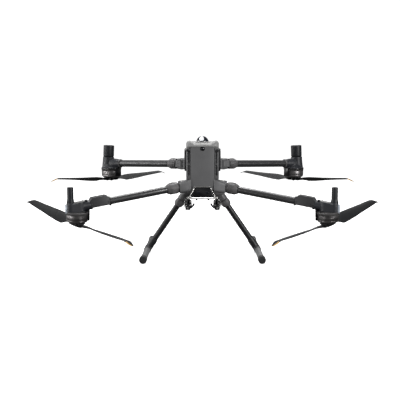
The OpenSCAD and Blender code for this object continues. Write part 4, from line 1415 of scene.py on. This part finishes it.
def gimbal_mounts():
    def damper():
        profile = [(0, 186, 0), (3.4, 186, 0.5), (3.2, 188, 0.8), (5.2, 190.4, 1.4), (5.2, 193, 1.2),
                   (3.6, 194.2, 0.5), (5.2, 195.6, 1.2), (5.0, 198.4, 1.4), (3.2, 200.2, 0.6),
                   (3.4, 202, 0.5), (0, 202, 0)]
        return joined(*repeated([(DAMPER_X, y, 0) for y in DAMPERS_Y], turned, profile, 32))

    pair("gimbal_damper_balls", damper, "rubber", stands_for=["gimbal_dampers"])

    def clamp():
        plate = slab(33, 55, -194, -158, 179, 187, 5, 1.6)
        block = slab(37, 53, -191, -161, 168, 180, 4, 2.0)
        tower = slab(45, 55, -198, -184, 184, 204, 3, 1.4)
        cheek = slab(33, 40, -196, -186, 186, 199, 2.5, 1.2)
        lever = tube(bent([(40, -186, 174), (32, -193, 178), (26, -193, 187)], 4, 4), 3.0, 14)
        paddle = placed(disc(4.6, -1.8, 1.8, 0.8, 28), move(27, -194, 186) @ turn(60, "Y"))
        knob = placed(disc(5.0, -2, 3.4, 1.0, 32), move(45, -191.5, 175) @ STAND)
        return joined(plate, block, tower, cheek, lever, paddle, knob)

    pair("gimbal_clamp_block", clamp, "black", stands_for=["gimbal_clamps"])

    def fixings():
        parts = repeated([(x, y, 0) for x in (36.0, 52.0) for y in (-190.6, -161.4)],
                         disc, 1.9, 186.6, 188.2, 0.4, 18)
        parts += [placed(disc(2.3, -1.4, 1.0, 0.5, 20), move(x, y, z) @ STAND)
                  for x, y, z in ((37.5, -194, 183), (50.5, -194, 183), (50.0, -198, 200),
                                  (50.0, -198, 190), (36.5, -196, 193))]
        parts.append(placed(disc(2.6, -1.2, 1.4, 0.6, 20), move(45, -194.9, 175) @ STAND))
        parts.append(tube(bent([(54, -196, 176), (57, -200, 184), (54, -201, 196)], 4, 4), 0.9, 10))
        return joined(*parts)

    pair("gimbal_clamp_screws", fixings, "steel")
    pair("gimbal_hoop_feet", lambda: disc(3.0, 199.6, 203.2, 0.8, 24), "rubber", move(18, -204, 0))


# ---------------------------------------------------------------- studio
def floor():
    """White ground just under the skids, which neither lights nor mirrors in the drone."""
    mesh = bpy.data.meshes.new("studio_floor")
    bm = bmesh.new()
    bmesh.ops.create_circle(bm, cap_ends=True, segments=96, radius=40)
    bm.to_mesh(mesh)
    bm.free()
    made = principled("studio_floor", Roughness=0.9, Specular_IOR_Level=0.1, Emission_Strength=0.8,
                      Emission_Color=(1, 1, 1, 1))
    tree = made[1]
    tone = ramp(tree, noise_map(tree, object_coords(tree), 3.0), [(0.3, 0.93), (0.7, 0.96)])
    mesh.materials.append(finished(made, tone, None))
    ground = bpy.data.objects.new("studio_floor", mesh)
    ground.location.z = -0.0003
    ground.visible_glossy = False
    ground.visible_diffuse = False
    bpy.context.scene.collection.objects.link(ground)


def sky():
    """White to the camera; for the drone, a dome with a bright horizon and a dim right side."""
    world = bpy.data.worlds.new("studio")
    bpy.context.scene.world = world
    world.use_nodes = True
    tree = world.node_tree
    tree.nodes.clear()
    way = add(tree, "SeparateXYZ", {0: add(tree, "TexCoord").outputs["Generated"]})
    level, along, side = (mapped(tree, way.outputs[i], -1.0, 1.0, 0.0, 1.0) for i in (2, 1, 0))
    dome = ramp(tree, level, [(0.0, 0.08), (0.42, 0.14), (0.475, 0.6), (0.51, 0.75), (0.58, 0.5),
                              (0.75, 0.3), (1.0, 0.6)])
    for way_in, stops in ((along, [(0.1, 0.65), (0.55, 1.0)]), (side, [(0.1, 1.0), (0.9, 0.3)])):
        dome = blend_colour(tree, 1.0, dome, ramp(tree, way_in, stops), "MULTIPLY")
    seen = add(tree, "LightPath").outputs["Is Camera Ray"]
    colour = blend_colour(tree, seen, dome, (1.0, 1.0, 1.0))
    light = add(tree, "Background", {"Color": colour, "Strength": 1.1})
    tree.links.new(light.outputs[0], add(tree, "OutputWorld").inputs["Surface"])


def softbox(name, at, aim_z, size, power):
    """Rectangular lamp that looks at a point on the drone's axis."""
    data = bpy.data.lights.new(name, "AREA")
    data.shape = "RECTANGLE"
    data.size, data.size_y = size
    data.energy = power
    lamp = bpy.data.objects.new(name, data)
    lamp.location = at
    lamp.rotation_euler = (Vector((0, 0, aim_z)) - Vector(at)).to_track_quat("-Z", "Y").to_euler()
    bpy.context.scene.collection.objects.link(lamp)


def lights():
    softbox("key_left", (-2.9, -0.1, 1.0), 0.2, (1.4, 1.2), 27)
    softbox("top", (-0.3, 0.9, 2.8), 0.2, (1.6, 1.2), 68)
    softbox("fill_right", (2.3, -2.2, 1.0), 0.2, (1.2, 1.2), 60)
    softbox("rim_back", (0.6, 2.8, 1.3), 0.3, (2.2, 1.2), 9)
    softbox("strip_left", (-2.9, 0.9, 0.9), 0.25, (0.5, 1.8), 5)
    softbox("bounce_left", (-2.3, -1.4, 0.12), 0.3, (1.6, 0.2), 13)


def view():
    """Camera solved from the photo's perspective, looking 6.67 degrees down."""
    scene = bpy.context.scene
    scene.view_settings.view_transform = "Standard"
    data = bpy.data.cameras.new("camera")
    data.sensor_width = 36.0
    data.lens = 58.5
    data.shift_x = -0.00625
    camera = bpy.data.objects.new("camera", data)
    camera.location = (0, -2.156, 0.429)
    camera.rotation_euler = (math.radians(90 - 6.67), 0, 0)
    scene.collection.objects.link(camera)
    scene.camera = camera


def finish_frame_node():
    """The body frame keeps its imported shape, with this scene's paint."""
    node = frame["nodes"]["body_frame"]
    node.data.materials.clear()
    node.data.materials.append(PAINTS["graphite"])


floor()
sky()
lights()
view()
finish_frame_node()
nose_cover()
nose_window()
nose_side_trims()
top_cover()
power_button()
beacon()
camera_eye()
side_modules()
flank_details()
belly()
batteries()
circuit()
forks()
arms()
collars()
arm_modules()
front_pods()
rear_pods()
motors()
blades()
legs()
skids()
gimbal_hoop()
gimbal_mounts()
